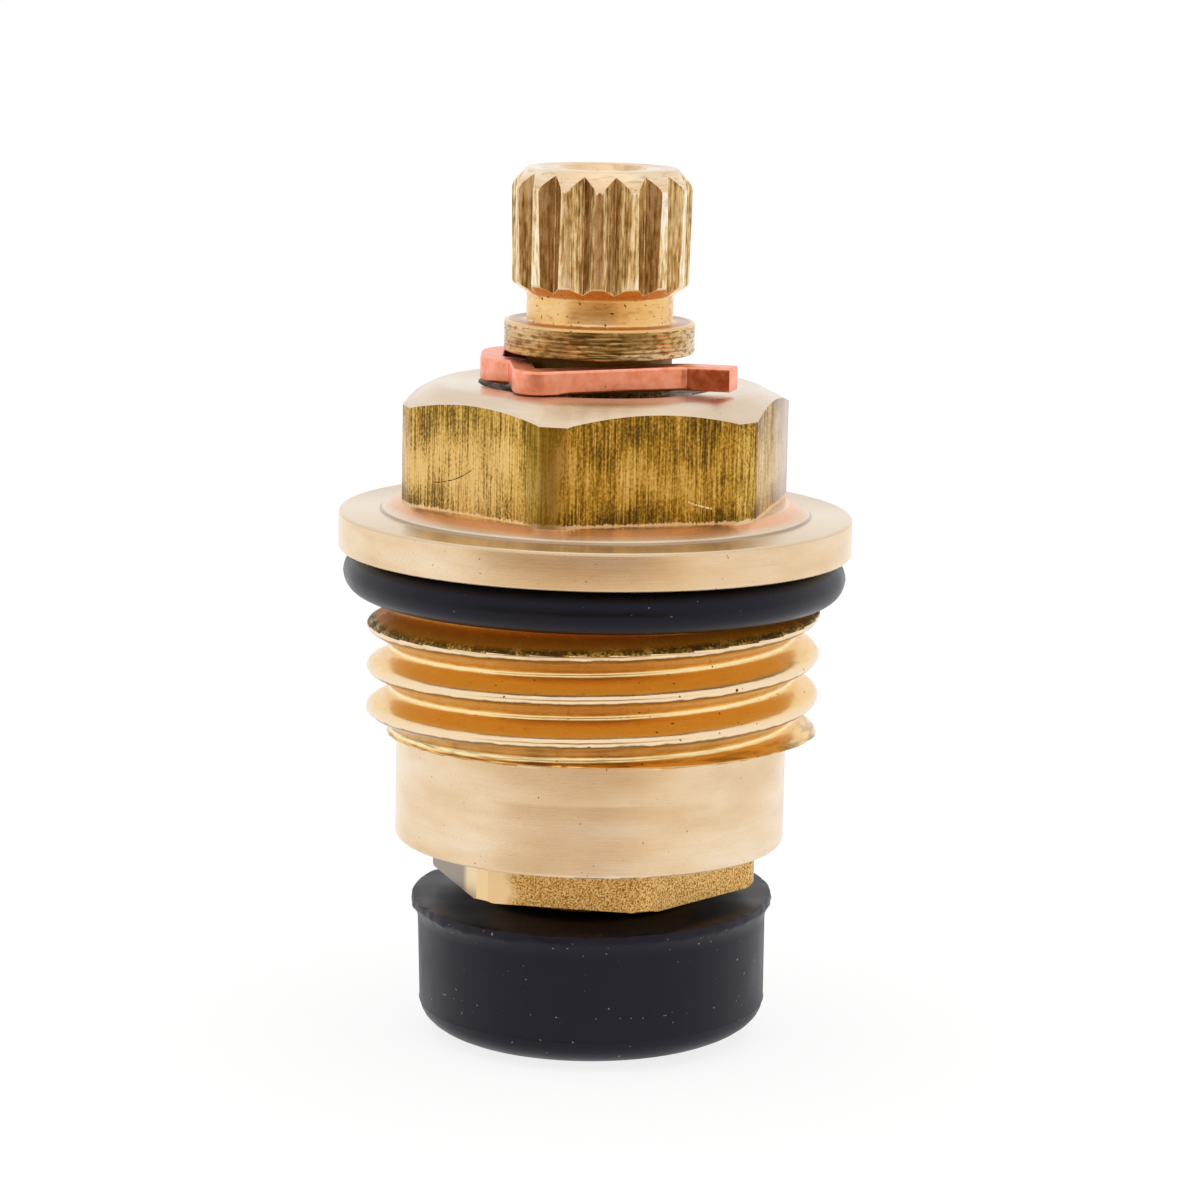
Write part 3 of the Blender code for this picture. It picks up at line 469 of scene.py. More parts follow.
def sawnBrass(name, look):
    # Sawn bar: grainy dull gold with dark pinholes, worn smooth and bright at its front left corner, with painted
    # grey shade down its left side
    material, tree, shader, place = startMaterial(name, {"Metallic": 1.0})
    axes = addNode(tree, "ShaderNodeSeparateXYZ", {"Vector": place}).node.outputs
    wander = addNode(tree, "ShaderNodeTexNoise", {"Vector": place, "Scale": 1000 / look["wanderSize"],
                                                  "Detail": 4.0})
    across = addNode(tree, "ShaderNodeMath", {0: wander, 1: look["wander"] / 1000, 2: axes["X"]},
                     operation="MULTIPLY_ADD")
    rough = addNode(tree, "ShaderNodeMapRange", {0: across, 1: look["roughFrom"][0] / 1000,
                                                 2: look["roughFrom"][1] / 1000})
    grain = addNode(tree, "ShaderNodeTexNoise", {"Vector": place, "Scale": 1000 / look["grainSize"],
                                                 "Detail": 1.0})
    rubbed = addNode(tree, "ShaderNodeValToRGB", {"Fac": grain}, stops=[
        (0.36, look["grain"]), (0.47, look["rough"]), (0.62, look["pale"])])
    colour = addNode(tree, "ShaderNodeMix", {0: rough, 6: toLinear(look["smooth"]), 7: rubbed}, data_type="RGBA")
    shade = addNode(tree, "ShaderNodeMapRange", {0: axes["X"], 1: look["shadedFrom"][0] / 1000,
                                                 2: look["shadedFrom"][1] / 1000, 4: look["shadedShare"]})
    colour = addNode(tree, "ShaderNodeMix", {0: shade, 6: colour, 7: toLinear(look["shaded"])}, data_type="RGBA")
    tree.links.new(colour, shader.inputs["Base Color"])
    tree.links.new(addNode(tree, "ShaderNodeMapRange", {0: rough, 3: look["gloss"], 4: look["dull"]}),
                   shader.inputs["Roughness"])
    relief = addNode(tree, "ShaderNodeMath", {0: grain, 1: rough}, operation="MULTIPLY")
    tree.links.new(addNode(tree, "ShaderNodeBump", {"Height": relief, "Distance": look["grainDepth"]}),
                   shader.inputs["Normal"])
    return material


def tarnishedFlats(name, look):
    # Drawn hexagon bar: brown-olive tarnish in fine streaks along it, golden towards the left, with painted
    # reflections on its front corner and right limb and a painted highlight along its foot
    material, tree, shader, place = startMaterial(name, {"Metallic": 1.0})
    axes = addNode(tree, "ShaderNodeSeparateXYZ", {"Vector": place}).node.outputs
    height = addNode(tree, "ShaderNodeMath", {0: axes["Z"], 1: 1000.0, 2: -flangeFoot}, operation="MULTIPLY_ADD")
    streaks = stretchedNoise(tree, place, look["streakWidth"], look["streakLength"], 4.0)
    speckle = stretchedNoise(tree, place, *look["speckleSize"], 2.0)
    fine = addNode(tree, "ShaderNodeMath", {0: streaks, 1: 0.62, 2: addNode(
        tree, "ShaderNodeMath", {0: speckle, 1: 0.38}, operation="MULTIPLY")}, operation="MULTIPLY_ADD")
    clouds = stretchedNoise(tree, place, *look["cloudSize"], 8.0)
    # Brown stains gather along the top and the foot
    edges = addNode(tree, "ShaderNodeMath", {
        socket: addNode(tree, "ShaderNodeMapRange", {0: height, 1: start, 2: full, 4: strength})
        for socket, (start, full, strength) in enumerate(look["edgeStains"])}, operation="ADD")
    both = addNode(tree, "ShaderNodeMix", {0: 0.3, 2: fine, 3: clouds})
    level = addNode(tree, "ShaderNodeMath", {0: both, 1: edges}, operation="SUBTRACT")
    colour = addNode(tree, "ShaderNodeValToRGB", {"Fac": level}, stops=[
        (0.35, look["stain"]), (0.4, look["dark"]), (0.45, look["olive"]), (0.5, look["main"]),
        (0.6, look["pale"])])
    # Golden on the left, most where the tarnish is thin, and less towards the top; a painted pale grey reflection
    # on the right limb
    goldSide, paleReflectionSide = [addNode(tree, "ShaderNodeMapRange", {0: axes["X"], 1: start / 1000, 2: full / 1000})
                           for start, full in (look["goldSide"], look["paleReflectionSide"])]
    leftGold = addNode(tree, "ShaderNodeMath", {0: goldSide, 1: addNode(
        tree, "ShaderNodeMapRange", {0: level, 1: 0.4, 2: 0.52, 3: 0.1, 4: 0.75})}, operation="MULTIPLY")
    fadeStart, fadeEnd, fadeShare = look["goldFade"]
    lower = addNode(tree, "ShaderNodeMapRange", {0: height, 1: fadeStart, 2: fadeEnd, 3: 1.0, 4: fadeShare})
    gold = addNode(tree, "ShaderNodeMath", {0: leftGold, 1: lower}, operation="MULTIPLY")
    bloom = addNode(tree, "ShaderNodeMath", {0: paleReflectionSide, 1: look["paleReflectionShare"]}, operation="MULTIPLY")
    # Painted highlight: a bright ragged line along the edge where the cutter met the hexagon's foot
    lineTop, lineFoot, lineShare = look["cutLine"]
    wander = stretchedNoise(tree, place, *look["cutSize"], 2.0)
    ragged = addNode(tree, "ShaderNodeMath", {0: wander, 1: 0.35, 2: height}, operation="MULTIPLY_ADD")
    cut = addNode(tree, "ShaderNodeMapRange", {0: ragged, 1: lineTop, 2: lineFoot, 4: lineShare})
    # Painted green-brown dark reflection down the turned front corner
    reflectionMiddle, reflectionHalf, reflectionCore, reflectionShare = look["cornerReflectionBand"]
    aside = addNode(tree, "ShaderNodeMath", {0: addNode(
        tree, "ShaderNodeMath", {0: axes["X"], 1: -reflectionMiddle / 1000}, operation="ADD")}, operation="ABSOLUTE")
    cornerReflection = addNode(tree, "ShaderNodeMath", {0: addNode(
        tree, "ShaderNodeMapRange", {0: aside, 1: reflectionHalf / 1000, 2: reflectionCore / 1000, 4: reflectionShare}), 1: addNode(
        tree, "ShaderNodeMath", {0: axes["Y"], 1: 0.0}, operation="LESS_THAN")}, operation="MULTIPLY")
    coats = [(gold, look["gold"]), (bloom, look["bloom"]), (cut, look["cut"]), (cornerReflection, look["cornerReflection"])]
    for centre, radius, middle, reach, width, paint in look["scratches"]:
        # An arc of a ball's outline round the centre, kept near its middle
        ring = addNode(tree, "ShaderNodeVectorMath", {0: place, 1: lifted(centre)}, operation="DISTANCE")
        off = addNode(tree, "ShaderNodeMath", {0: ring, 1: radius / 1000, 2: width / 2000}, operation="COMPARE")
        near = addNode(tree, "ShaderNodeVectorMath", {0: place, 1: lifted(middle)}, operation="DISTANCE")
        kept = addNode(tree, "ShaderNodeMath", {0: near, 1: reach / 1000}, operation="LESS_THAN")
        broken = addNode(tree, "ShaderNodeMapRange", {0: speckle, 1: 0.42, 2: 0.5})
        mark = addNode(tree, "ShaderNodeMath", {0: off, 1: kept}, operation="MULTIPLY")
        coats.append((addNode(tree, "ShaderNodeMath", {0: mark, 1: broken}, operation="MULTIPLY"), paint))
    for share, paint in coats:
        colour = addNode(tree, "ShaderNodeMix", {0: share, 6: colour, 7: toLinear(paint)}, data_type="RGBA")
    tree.links.new(colour, shader.inputs["Base Color"])
    tree.links.new(addNode(tree, "ShaderNodeMapRange", {0: level, 1: 0.36, 2: 0.62, 3: look["dull"],
                                                        4: look["gloss"]}), shader.inputs["Roughness"])
    tree.links.new(addNode(tree, "ShaderNodeBump", {"Height": fine, "Distance": look["streakDepth"]}),
                   shader.inputs["Normal"])
    return material


def threadedBrass(name, size, look):
    # Brass cut by a die: crests painted pale as highlights, deep gold above the roots, a painted highlight line
    # in the roots and painted brown shade under the crests
    material, tree, shader, place = startMaterial(name, {"Metallic": 1.0})
    axes = addNode(tree, "ShaderNodeSeparateXYZ", {"Vector": place}).node.outputs
    height = addNode(tree, "ShaderNodeMath", {0: axes["Z"], 1: 1000.0, 2: -flangeFoot}, operation="MULTIPLY_ADD")
    offset = 0.5 - size["crestHeight"] / size["pitch"]
    climb = addNode(tree, "ShaderNodeMath", {0: height, 1: 1 / size["pitch"], 2: offset},
                    operation="MULTIPLY_ADD")
    angle = addNode(tree, "ShaderNodeMath", {0: axes["Y"], 1: axes["X"]}, operation="ARCTAN2")
    turns = addNode(tree, "ShaderNodeMath", {0: angle, 1: -1 / math.tau, 2: climb}, operation="MULTIPLY_ADD")
    lines = stretchedNoise(tree, place, *look["lineSize"], 2.0)
    # The share of a turn above the crest, a little uneven, picks the colour: painted highlight on the crest and
    # in the root, painted shade on the flank under the crest
    uneven = addNode(tree, "ShaderNodeMath", {0: stretchedNoise(tree, place, *look["unevenSize"], 4.0), 1: 0.1,
                                              2: turns}, operation="MULTIPLY_ADD")
    share = addNode(tree, "ShaderNodeMath", {0: addNode(
        tree, "ShaderNodeMath", {0: uneven, 1: 0.05}, operation="SUBTRACT")}, operation="FRACT")
    colour = addNode(tree, "ShaderNodeValToRGB", {"Fac": share}, stops=[
        (0.0, look["crest"]), (0.08, look["crest"]), (0.18, look["gold"]), (0.42, look["deep"]),
        (0.48, look["line"]), (0.54, look["line"]), (0.60, look["flankShade"]), (0.84, look["flankShade"]),
        (0.91, look["shade"]), (0.95, look["crest"])])
    # Brown streaks: painted shade below the seal ring, and darker brown in the last groove
    places = addNode(tree, "ShaderNodeMapRange", {0: height, 1: look["darkStreakHeights"][0], 2: look["darkStreakHeights"][1]})
    darkened = addNode(tree, "ShaderNodeValToRGB", {"Fac": places}, stops=[
        (0.04, "#B0B0B0"), (0.1, "#E0E0E0"), (0.16, "#909090"), (0.22, "#000000"), (0.7, "#000000"),
        (0.78, "#606060"), (0.93, "#909090"), (0.97, "#404040")])
    streaks = addNode(tree, "ShaderNodeMapRange", {
        0: stretchedNoise(tree, place, *look["streakSize"], 4.0), 1: 0.45, 2: 0.62})
    streaked = addNode(tree, "ShaderNodeMath", {0: darkened, 1: streaks}, operation="MULTIPLY")
    colour = addNode(tree, "ShaderNodeMix", {0: streaked, 6: colour, 7: toLinear(look["stain"])},
                     data_type="RGBA")
    spots = addNode(tree, "ShaderNodeTexNoise", {"Vector": place, "Scale": 1000 / look["pitSize"], "Detail": 1.0})
    pits = addNode(tree, "ShaderNodeMapRange", {0: spots, 1: 0.74, 2: 0.78})
    colour = addNode(tree, "ShaderNodeMix", {0: pits, 6: colour, 7: toLinear(look["pit"])}, data_type="RGBA")
    tree.links.new(colour, shader.inputs["Base Color"])
    tree.links.new(addNode(tree, "ShaderNodeMapRange", {0: lines, 3: look["gloss"], 4: look["dull"]}),
                   shader.inputs["Roughness"])
    tree.links.new(addNode(tree, "ShaderNodeBump", {"Height": lines, "Distance": look["lineDepth"]}),
                   shader.inputs["Normal"])
    return material


def springBronze(name, look):
    # Copper-coloured spring wire, drawn square: pinkish satin with faint die lines and small nicks
    material, tree, shader, place = startMaterial(name, {"Metallic": 1.0})
    mottle = addNode(tree, "ShaderNodeTexNoise", {"Vector": place, "Scale": 1000 / look["mottleSize"],
                                                  "Detail": 8.0, "Roughness": 0.65})
    colour = addNode(tree, "ShaderNodeValToRGB", {"Fac": mottle}, stops=[
        (0.34, look["deep"]), (0.5, look["main"]), (0.66, look["pale"])])
    lines = stretchedNoise(tree, place, *look["lineSize"], 2.0)
    spots = addNode(tree, "ShaderNodeTexNoise", {"Vector": place, "Scale": 1000 / look["nickSize"],
                                                 "Detail": 1.0})
    nicks = addNode(tree, "ShaderNodeMapRange", {0: spots, 1: 0.76, 2: 0.8})
    colour = addNode(tree, "ShaderNodeMix", {0: nicks, 6: colour, 7: toLinear(look["nick"])}, data_type="RGBA")
    tree.links.new(colour, shader.inputs["Base Color"])
    tree.links.new(addNode(tree, "ShaderNodeMapRange", {0: mottle, 1: 0.3, 2: 0.7, 3: look["gloss"],
                                                        4: look["dull"]}), shader.inputs["Roughness"])
    relief = addNode(tree, "ShaderNodeMath", {0: lines, 1: nicks}, operation="SUBTRACT")
    tree.links.new(addNode(tree, "ShaderNodeBump", {"Height": relief, "Distance": look["lineDepth"]}),
                   shader.inputs["Normal"])
    return material


def mouldedRubber(name, look):
    # Black nitrile rubber from a mould: soft blue-black sheen with specks of dust and brass dirt on it
    material, tree, shader, place = startMaterial(name, {"IOR": 1.5, "Specular IOR Level": 0.28,
                                                           "Specular Tint": toLinear("#DEDCFF")})
    axes = addNode(tree, "ShaderNodeSeparateXYZ", {"Vector": place}).node.outputs
    height = addNode(tree, "ShaderNodeMath", {0: axes["Z"], 1: 1000.0, 2: -flangeFoot}, operation="MULTIPLY_ADD")
    bloom = addNode(tree, "ShaderNodeTexNoise", {"Vector": place, "Scale": 1000 / look["bloomSize"],
                                                 "Detail": 5.0})
    colour = addNode(tree, "ShaderNodeValToRGB", {"Fac": bloom},
                     stops=[(0.35, look["deep"]), (0.65, look["main"])])
    spots = addNode(tree, "ShaderNodeTexNoise", {"Vector": place, "Scale": 1000 / look["dustSize"],
                                                 "Detail": 1.0})
    for seam, half, gathers in look.get("seams", ()):
        # Dust gathers along the mould's seam and the rim
        kept = addNode(tree, "ShaderNodeMath", {0: height, 1: seam, 2: half}, operation="COMPARE")
        spots = addNode(tree, "ShaderNodeMath", {0: kept, 1: gathers, 2: spots}, operation="MULTIPLY_ADD")
    dust = addNode(tree, "ShaderNodeMapRange", {0: spots, 1: look["dustLevel"], 2: look["dustLevel"] + 0.03})
    colour = addNode(tree, "ShaderNodeMix", {0: dust, 6: colour, 7: toLinear(look["dust"])}, data_type="RGBA")
    tree.links.new(colour, shader.inputs["Base Color"])
    grain = addNode(tree, "ShaderNodeTexNoise", {"Vector": place, "Scale": 1000 / look["grainSize"],
                                                 "Detail": 2.0})
    tree.links.new(addNode(tree, "ShaderNodeMapRange", {0: bloom, 1: 0.3, 2: 0.7, 3: look["gloss"],
                                                        4: look["dull"]}), shader.inputs["Roughness"])
    tree.links.new(addNode(tree, "ShaderNodeBump", {"Height": grain, "Distance": look["grainDepth"]}),
                   shader.inputs["Normal"])
    return material


# Looks. Sizes in mm, where a pair is a size across the axis and one along it; depths of relief in metres.
# Levels are places on a noise's range from 0 to 1. A band is (near, far, share, paint, ceiling).

brassLook = {"deep": "#E0C198", "main": "#EACFAA", "pale": "#F2DFC4", "mark": "#8A5A28", "markShare": 0.1,
             "cloudSize": (5.0, 1.6), "ringLength": 5.0, "ringPitch": 0.07, "ringDepth": 0.000002,
             "pit": "#5A3A1A", "pitSize": 0.14, "pitLevel": 0.765, "stain": "#B98446", "stainSize": 1.1,
             "stainLevel": 0.58, "stainShare": 0.16, "gloss": 0.22, "dull": 0.32}
bodyBrass = turnedBrass("bodyTurnedBrass", dict(
    brassLook, markShare=0.06, stainShare=0.1, gloss=0.24, dull=0.3, bands=(
        (-1.0, 0.0, 0.35, "#CEC6C0", 9.0),    # greyer on everything that looks up
        (9.8, 9.4, 0.7, "#E89C5A", 3.0),      # painted copper-orange reflection in the corner round the hexagon's foot
        (8.95, 8.85, 0.6, "#FFE0B0", 3.0),    # painted highlight, a bright line where the hexagon starts
        (9.84, 9.86, 0.55, "#7A5024", 3.0),   # painted shade, a dark line in the corner of the plinth
        (9.95, 9.98, 1.0, "#E2CBAA", 3.0))))  # plain brass out to the flange's edge
shadeCoatLook = {"grainSize": 0.13, "grainDepth": 0.000008, "cloudSize": 0.9, "paintedLightShare": 0.85, "slope": 0.0,
           "gloss": 0.35, "dull": 0.6}
# Painted shade in the bore's mouth under the clip and in the clip's groove
recessShade = paintedShadeCoat("recessShade", dict(shadeCoatLook, deep="#3E3012", main="#6A5220", grain="#A88440", paintedLight="#8A6C30",
                                     paintedLightFrom=(7.5, 7.7)))
# Painted shade in the thread's top groove under the seal ring
threadTopShade = paintedShadeCoat("threadTopShade", dict(shadeCoatLook, deep="#4E3A10", main="#7A5818", grain="#D8A850",
                                       paintedLight="#E08A24", paintedLightFrom=(-2.93, -2.78), slope=0.035))
spindleBrass = turnedBrass("spindleTurnedBrass", dict(
    brassLook, deep="#E2BE90", main="#EFD4AE", pale="#F8E9D2", pitSize=0.12, pitLevel=0.74, stain="#A87838",
    stainSize=0.3, stainLevel=0.55, stainShare=0.4, gloss=0.18, dull=0.34))
# Warmer, more orange copy of the spindle's brass for the neck and the collar's top: painted orange reflection of
# the brass round it, with pits and stains
neckBrass = turnedBrass("spindleNeckBrass", dict(
    brassLook, deep="#E2AC62", main="#F2C684", pale="#F8E0BC", pitSize=0.17, pitLevel=0.69, pit="#4A3010",
    stain="#B87830", stainSize=0.3, stainLevel=0.54, stainShare=0.5, gloss=0.18, dull=0.34, bands=(
        (3.4, 3.6, 0.9, "#A86010", 11.0),      # painted brown shade on the collar's top, under the head
        (4.12, 4.2, 0.8, "#F0CE94", 11.0))))   # and a painted highlight on its pale rim
# Dark mottled collar, with a painted dark reflection in streaks across its middle
collarBrass = turnedBrass("spindleCollarBrass", dict(
    brassLook, deep="#B08648", main="#D8AE70", pale="#F8E2BC", markShare=0.7, ringPitch=0.055,
    ringDepth=0.000004, pitSize=0.12, pitLevel=0.7, pit="#3E2A0C", stain="#76541E", stainSize=0.17,
    stainLevel=0.47, stainShare=0.75, gloss=0.24, dull=0.42,
    darkReflection={"colour": "#4A3408", "reach": (0.8, 3.2), "share": 0.9, "streaks": (1.4, 0.12)}))
# Bright orange copy for the cone under the head: painted orange glow
coneBrass = turnedBrass("spindleConeBrass", dict(
    brassLook, deep="#F2B060", main="#FFCC84", pale="#FFE0AC", pitSize=0.17, pitLevel=0.72))
screwBrass = turnedBrass("screwBrass", dict(brassLook, deep="#D2A868", main="#E2BE84", pale="#F0D6A8"))
sliderBrass = sawnBrass("sliderBrass", {
    "smooth": "#EBCB98", "rough": "#D29E50", "pale": "#EBC88A", "grain": "#8A6228", "grainSize": 0.075,
    "grainDepth": 0.00001, "roughFrom": (-3.1, -2.5), "wander": 1.2, "wanderSize": 0.6,
    "shaded": "#665A50", "shadedFrom": (-5.5, -5.75), "shadedShare": 0.85, "gloss": 0.28, "dull": 0.45})
# Edge stains, the gold's fade and the cut line, a painted highlight, are heights and a share; the painted corner
# reflection is a middle, a half width, a core and a share; a scratch is a ball's centre and radius, the middle of
# the arc and its reach, a width and a paint. The bloom is a painted pale reflection on the right limb
flatsBrass = tarnishedFlats("bodyTarnishedFlats", {
    "dark": "#7E5F24", "olive": "#A8822E", "main": "#D0A448", "pale": "#EACB84", "stain": "#5A4624",
    "streakWidth": 0.085, "streakLength": 2.6, "streakDepth": 0.000008, "speckleSize": (0.1, 0.14),
    "cloudSize": (1.6, 2.2), "edgeStains": ((4.6, 6.8, 0.065), (3.7, 2.6, 0.07)),
    "gold": "#E8C07C", "goldSide": (-2.8, -4.5), "goldFade": (5.0, 6.6, 0.25),
    "bloom": "#D9CCC6", "paleReflectionSide": (7.9, 8.6), "paleReflectionShare": 0.75, "cut": "#FFE6BC",
    "cutLine": (2.64, 2.6, 0.75), "cutSize": (0.12, 0.3), "cornerReflection": "#80641A", "cornerReflectionBand": (-2.4, 0.9, 0.5, 0.6),
    "gloss": 0.26, "dull": 0.48, "scratches": (
        ((-7.6, -4.16, 8.58), 5.0, (-6.32, -5.33, 3.89), 1.3, 0.05, "#3A2A10"),
        ((5.95, -6.71, 7.98), 5.0, (4.63, -7.13, 3.18), 0.6, 0.07, "#FFF0CC"))})
splineLook = {"dark": "#80602E", "olive": "#B08A50", "main": "#D2AE74", "pale": "#F2DCB0", "stain": "#7A5A28",
              "stainSize": 1.8, "stainLevel": 0.6, "stainShare": 0.4, "streakWidth": 0.09, "streakLength": 3.0,
              "streakDepth": 0.000005, "cloudSize": (2.4, 3.4), "speckleSize": (0.13, 0.6), "gloss": 0.18,
              "dull": 0.36}
splineBrass = drawnBrass("spindleSplineBrass", splineLook)
# Paler copy for the splines' crests: painted light
crestBrass = drawnBrass("spindleCrestBrass", dict(
    splineLook, dark="#A88048", olive="#D8B47C", main="#F2D6A8", pale="#FFF2DC", streakWidth=0.16))
bronzeLook = {"deep": "#F09474", "main": "#FCA88C", "pale": "#FFB89E", "mottleSize": 0.5, "nick": "#6A2E18",
              "nickSize": 0.18, "lineSize": (2.5, 0.09), "lineDepth": 0.000006, "gloss": 0.3, "dull": 0.38}
clipBronze = springBronze("clipBronze", bronzeLook)
# Darker copy for the tail's face that looks to the front: painted shade
tailBronze = springBronze("tailBronze", dict(bronzeLook, deep="#9C4A2A", main="#B15A38", pale="#C87452",
                                             nick="#5A2412"))
rubberLook = {"bloomSize": 2.6, "dustSize": 0.2, "dustLevel": 0.77, "grainSize": 0.14, "grainDepth": 0.000005}
ringRubber = mouldedRubber("ringRubber", dict(rubberLook, deep="#060609", main="#0C0C11", dust="#6E6258",
                                              gloss=0.26, dull=0.42))
washerRubber = mouldedRubber("washerRubber", dict(rubberLook, deep="#110F14", main="#16151B", dust="#8A7A70",
                                                  gloss=0.34, dull=0.5,
                                                  seams=((-20.2, 0.03, 0.1), (-16.75, 0.25, 0.05))))
print("materials made")


# Headwork body

bodySizes = {"steps": 256, "skirtRadius": 9.045, "skirtFoot": -13.5, "skirtEdge": 0.18, "skirtLine": -10.2,
             "threadLow": -8.96, "threadHigh": -2.28, "neck": 9.55, "flangeRadius": 11.83, "flangeTop": 1.75,
             "flangeEdge": 0.17, "footRadius": 9.86, "footStep": 0.17, "mouthRadius": 5.55, "mouthDepth": 0.45,
             "hexFoot": 2.35, "hexFlats": 16.4, "hexCorner": 9.1,
             "hexAngle": 17.7, "hexEdge": 0.05, "crownFlat": 7.4, "crownSlope": 27,
             "crownBlend": 1.4, "boreRadius": 4.45, "chamberRadius": 6.6, "shoulder": -1.5,
             "guideTop": -3.5, "guideFlats": 14.0, "guideCorner": 7.85, "guideAngle": -12.4}
# A cut is a cone that ends the thread: radius and height at its low end, then at its high end. The top
# groove's crest lies between the heights of topGroove.
threadSizes = {"crest": 10.4775, "root": 9.37, "pitch": 1.93, "crestHeight": -5.57, "crestRound": 0.34,
               "rootRound": 0.36, "ringSpacing": 0.055, "wall": (8.9, 11), "burr": 0.018, "burrsPerMm": 2.3,
               "lowCut": (9.05, -8.87, 10.45, -8.4), "lowRise": 0.42, "highCut": (10.45, -2.6, 9.55, -2.3),
               "uneven": 0.05, "unevenPerMm": 1.7, "shadeFoot": -3.7, "shadeAbove": 0.06, "topGroove": (-4.2, -2.6)}
# crest and line are painted highlights; the flank colour under the crest and shade are painted shade; stain is
# painted shade below the seal ring and brown streaks in the last groove
threadBrass = threadedBrass("bodyThreadedBrass", threadSizes, {
    "crest": "#F4DAB4", "gold": "#F5CA80", "deep": "#F3BE68", "line": "#FBE4AE", "flankShade": "#CF9E50",
    "shade": "#7A5826", "stain": "#6A4818", "pit": "#3A2408", "pitSize": 0.24, "lineSize": (3.0, 0.1),
    "lineDepth": 0.000005, "unevenSize": (0.7, 0.5), "streakSize": (1.6, 0.14), "darkStreakHeights": (-9.0, -2.2),
    "gloss": 0.14, "dull": 0.34})


def threadedWall(bm):
    # Cuts the wall to fine rings and moves them in to a right-hand helix that runs out in a cone at each end
    size = threadSizes
    low, high = bodySizes["threadLow"], bodySizes["threadHigh"]
    wallInside, wallOutside = size["wall"]
    cutRings(bm, low, high, wallOutside, size["ringSpacing"])
    lowRadius, lowHeight, lowTopRadius, lowTop = size["lowCut"]
    highRadius, highHeight, highTopRadius, highTop = size["highCut"]
    for vert in bm.verts:
        height, reach = vert.co.z, vert.co.xy.length
        if not (low + weld < height < high - weld and reach > wallInside):
            continue
        angle = math.atan2(vert.co.y, vert.co.x) % math.tau
        turns = (height - size["crestHeight"]) / size["pitch"] - (angle - math.pi) / math.tau
        share = abs(turns - round(turns)) * 2
        roughness = noise.noise(vert.co * size["burrsPerMm"]) * size["burr"] * (1.5 - share)
        radius = size["crest"] + roughness
        radius -= (size["crest"] - size["root"]) * wave(share, size["crestRound"], size["rootRound"])
        above = height - lowHeight - size["lowRise"] * max(0, -vert.co.y / reach)
        lowLimit = lowRadius + above * (lowTopRadius - lowRadius) / (lowTop - lowHeight)
        lowLimit += noise.noise(vert.co * size["unevenPerMm"]) * size["uneven"]
        highLimit = highRadius + (height - highHeight) * (highTopRadius - highRadius) / (highTop - highHeight)
        radius = min(radius, lowLimit, highLimit, size["crest"])
        vert.co.xy = vert.co.xy.normalized() * max(radius, bodySizes["skirtRadius"])


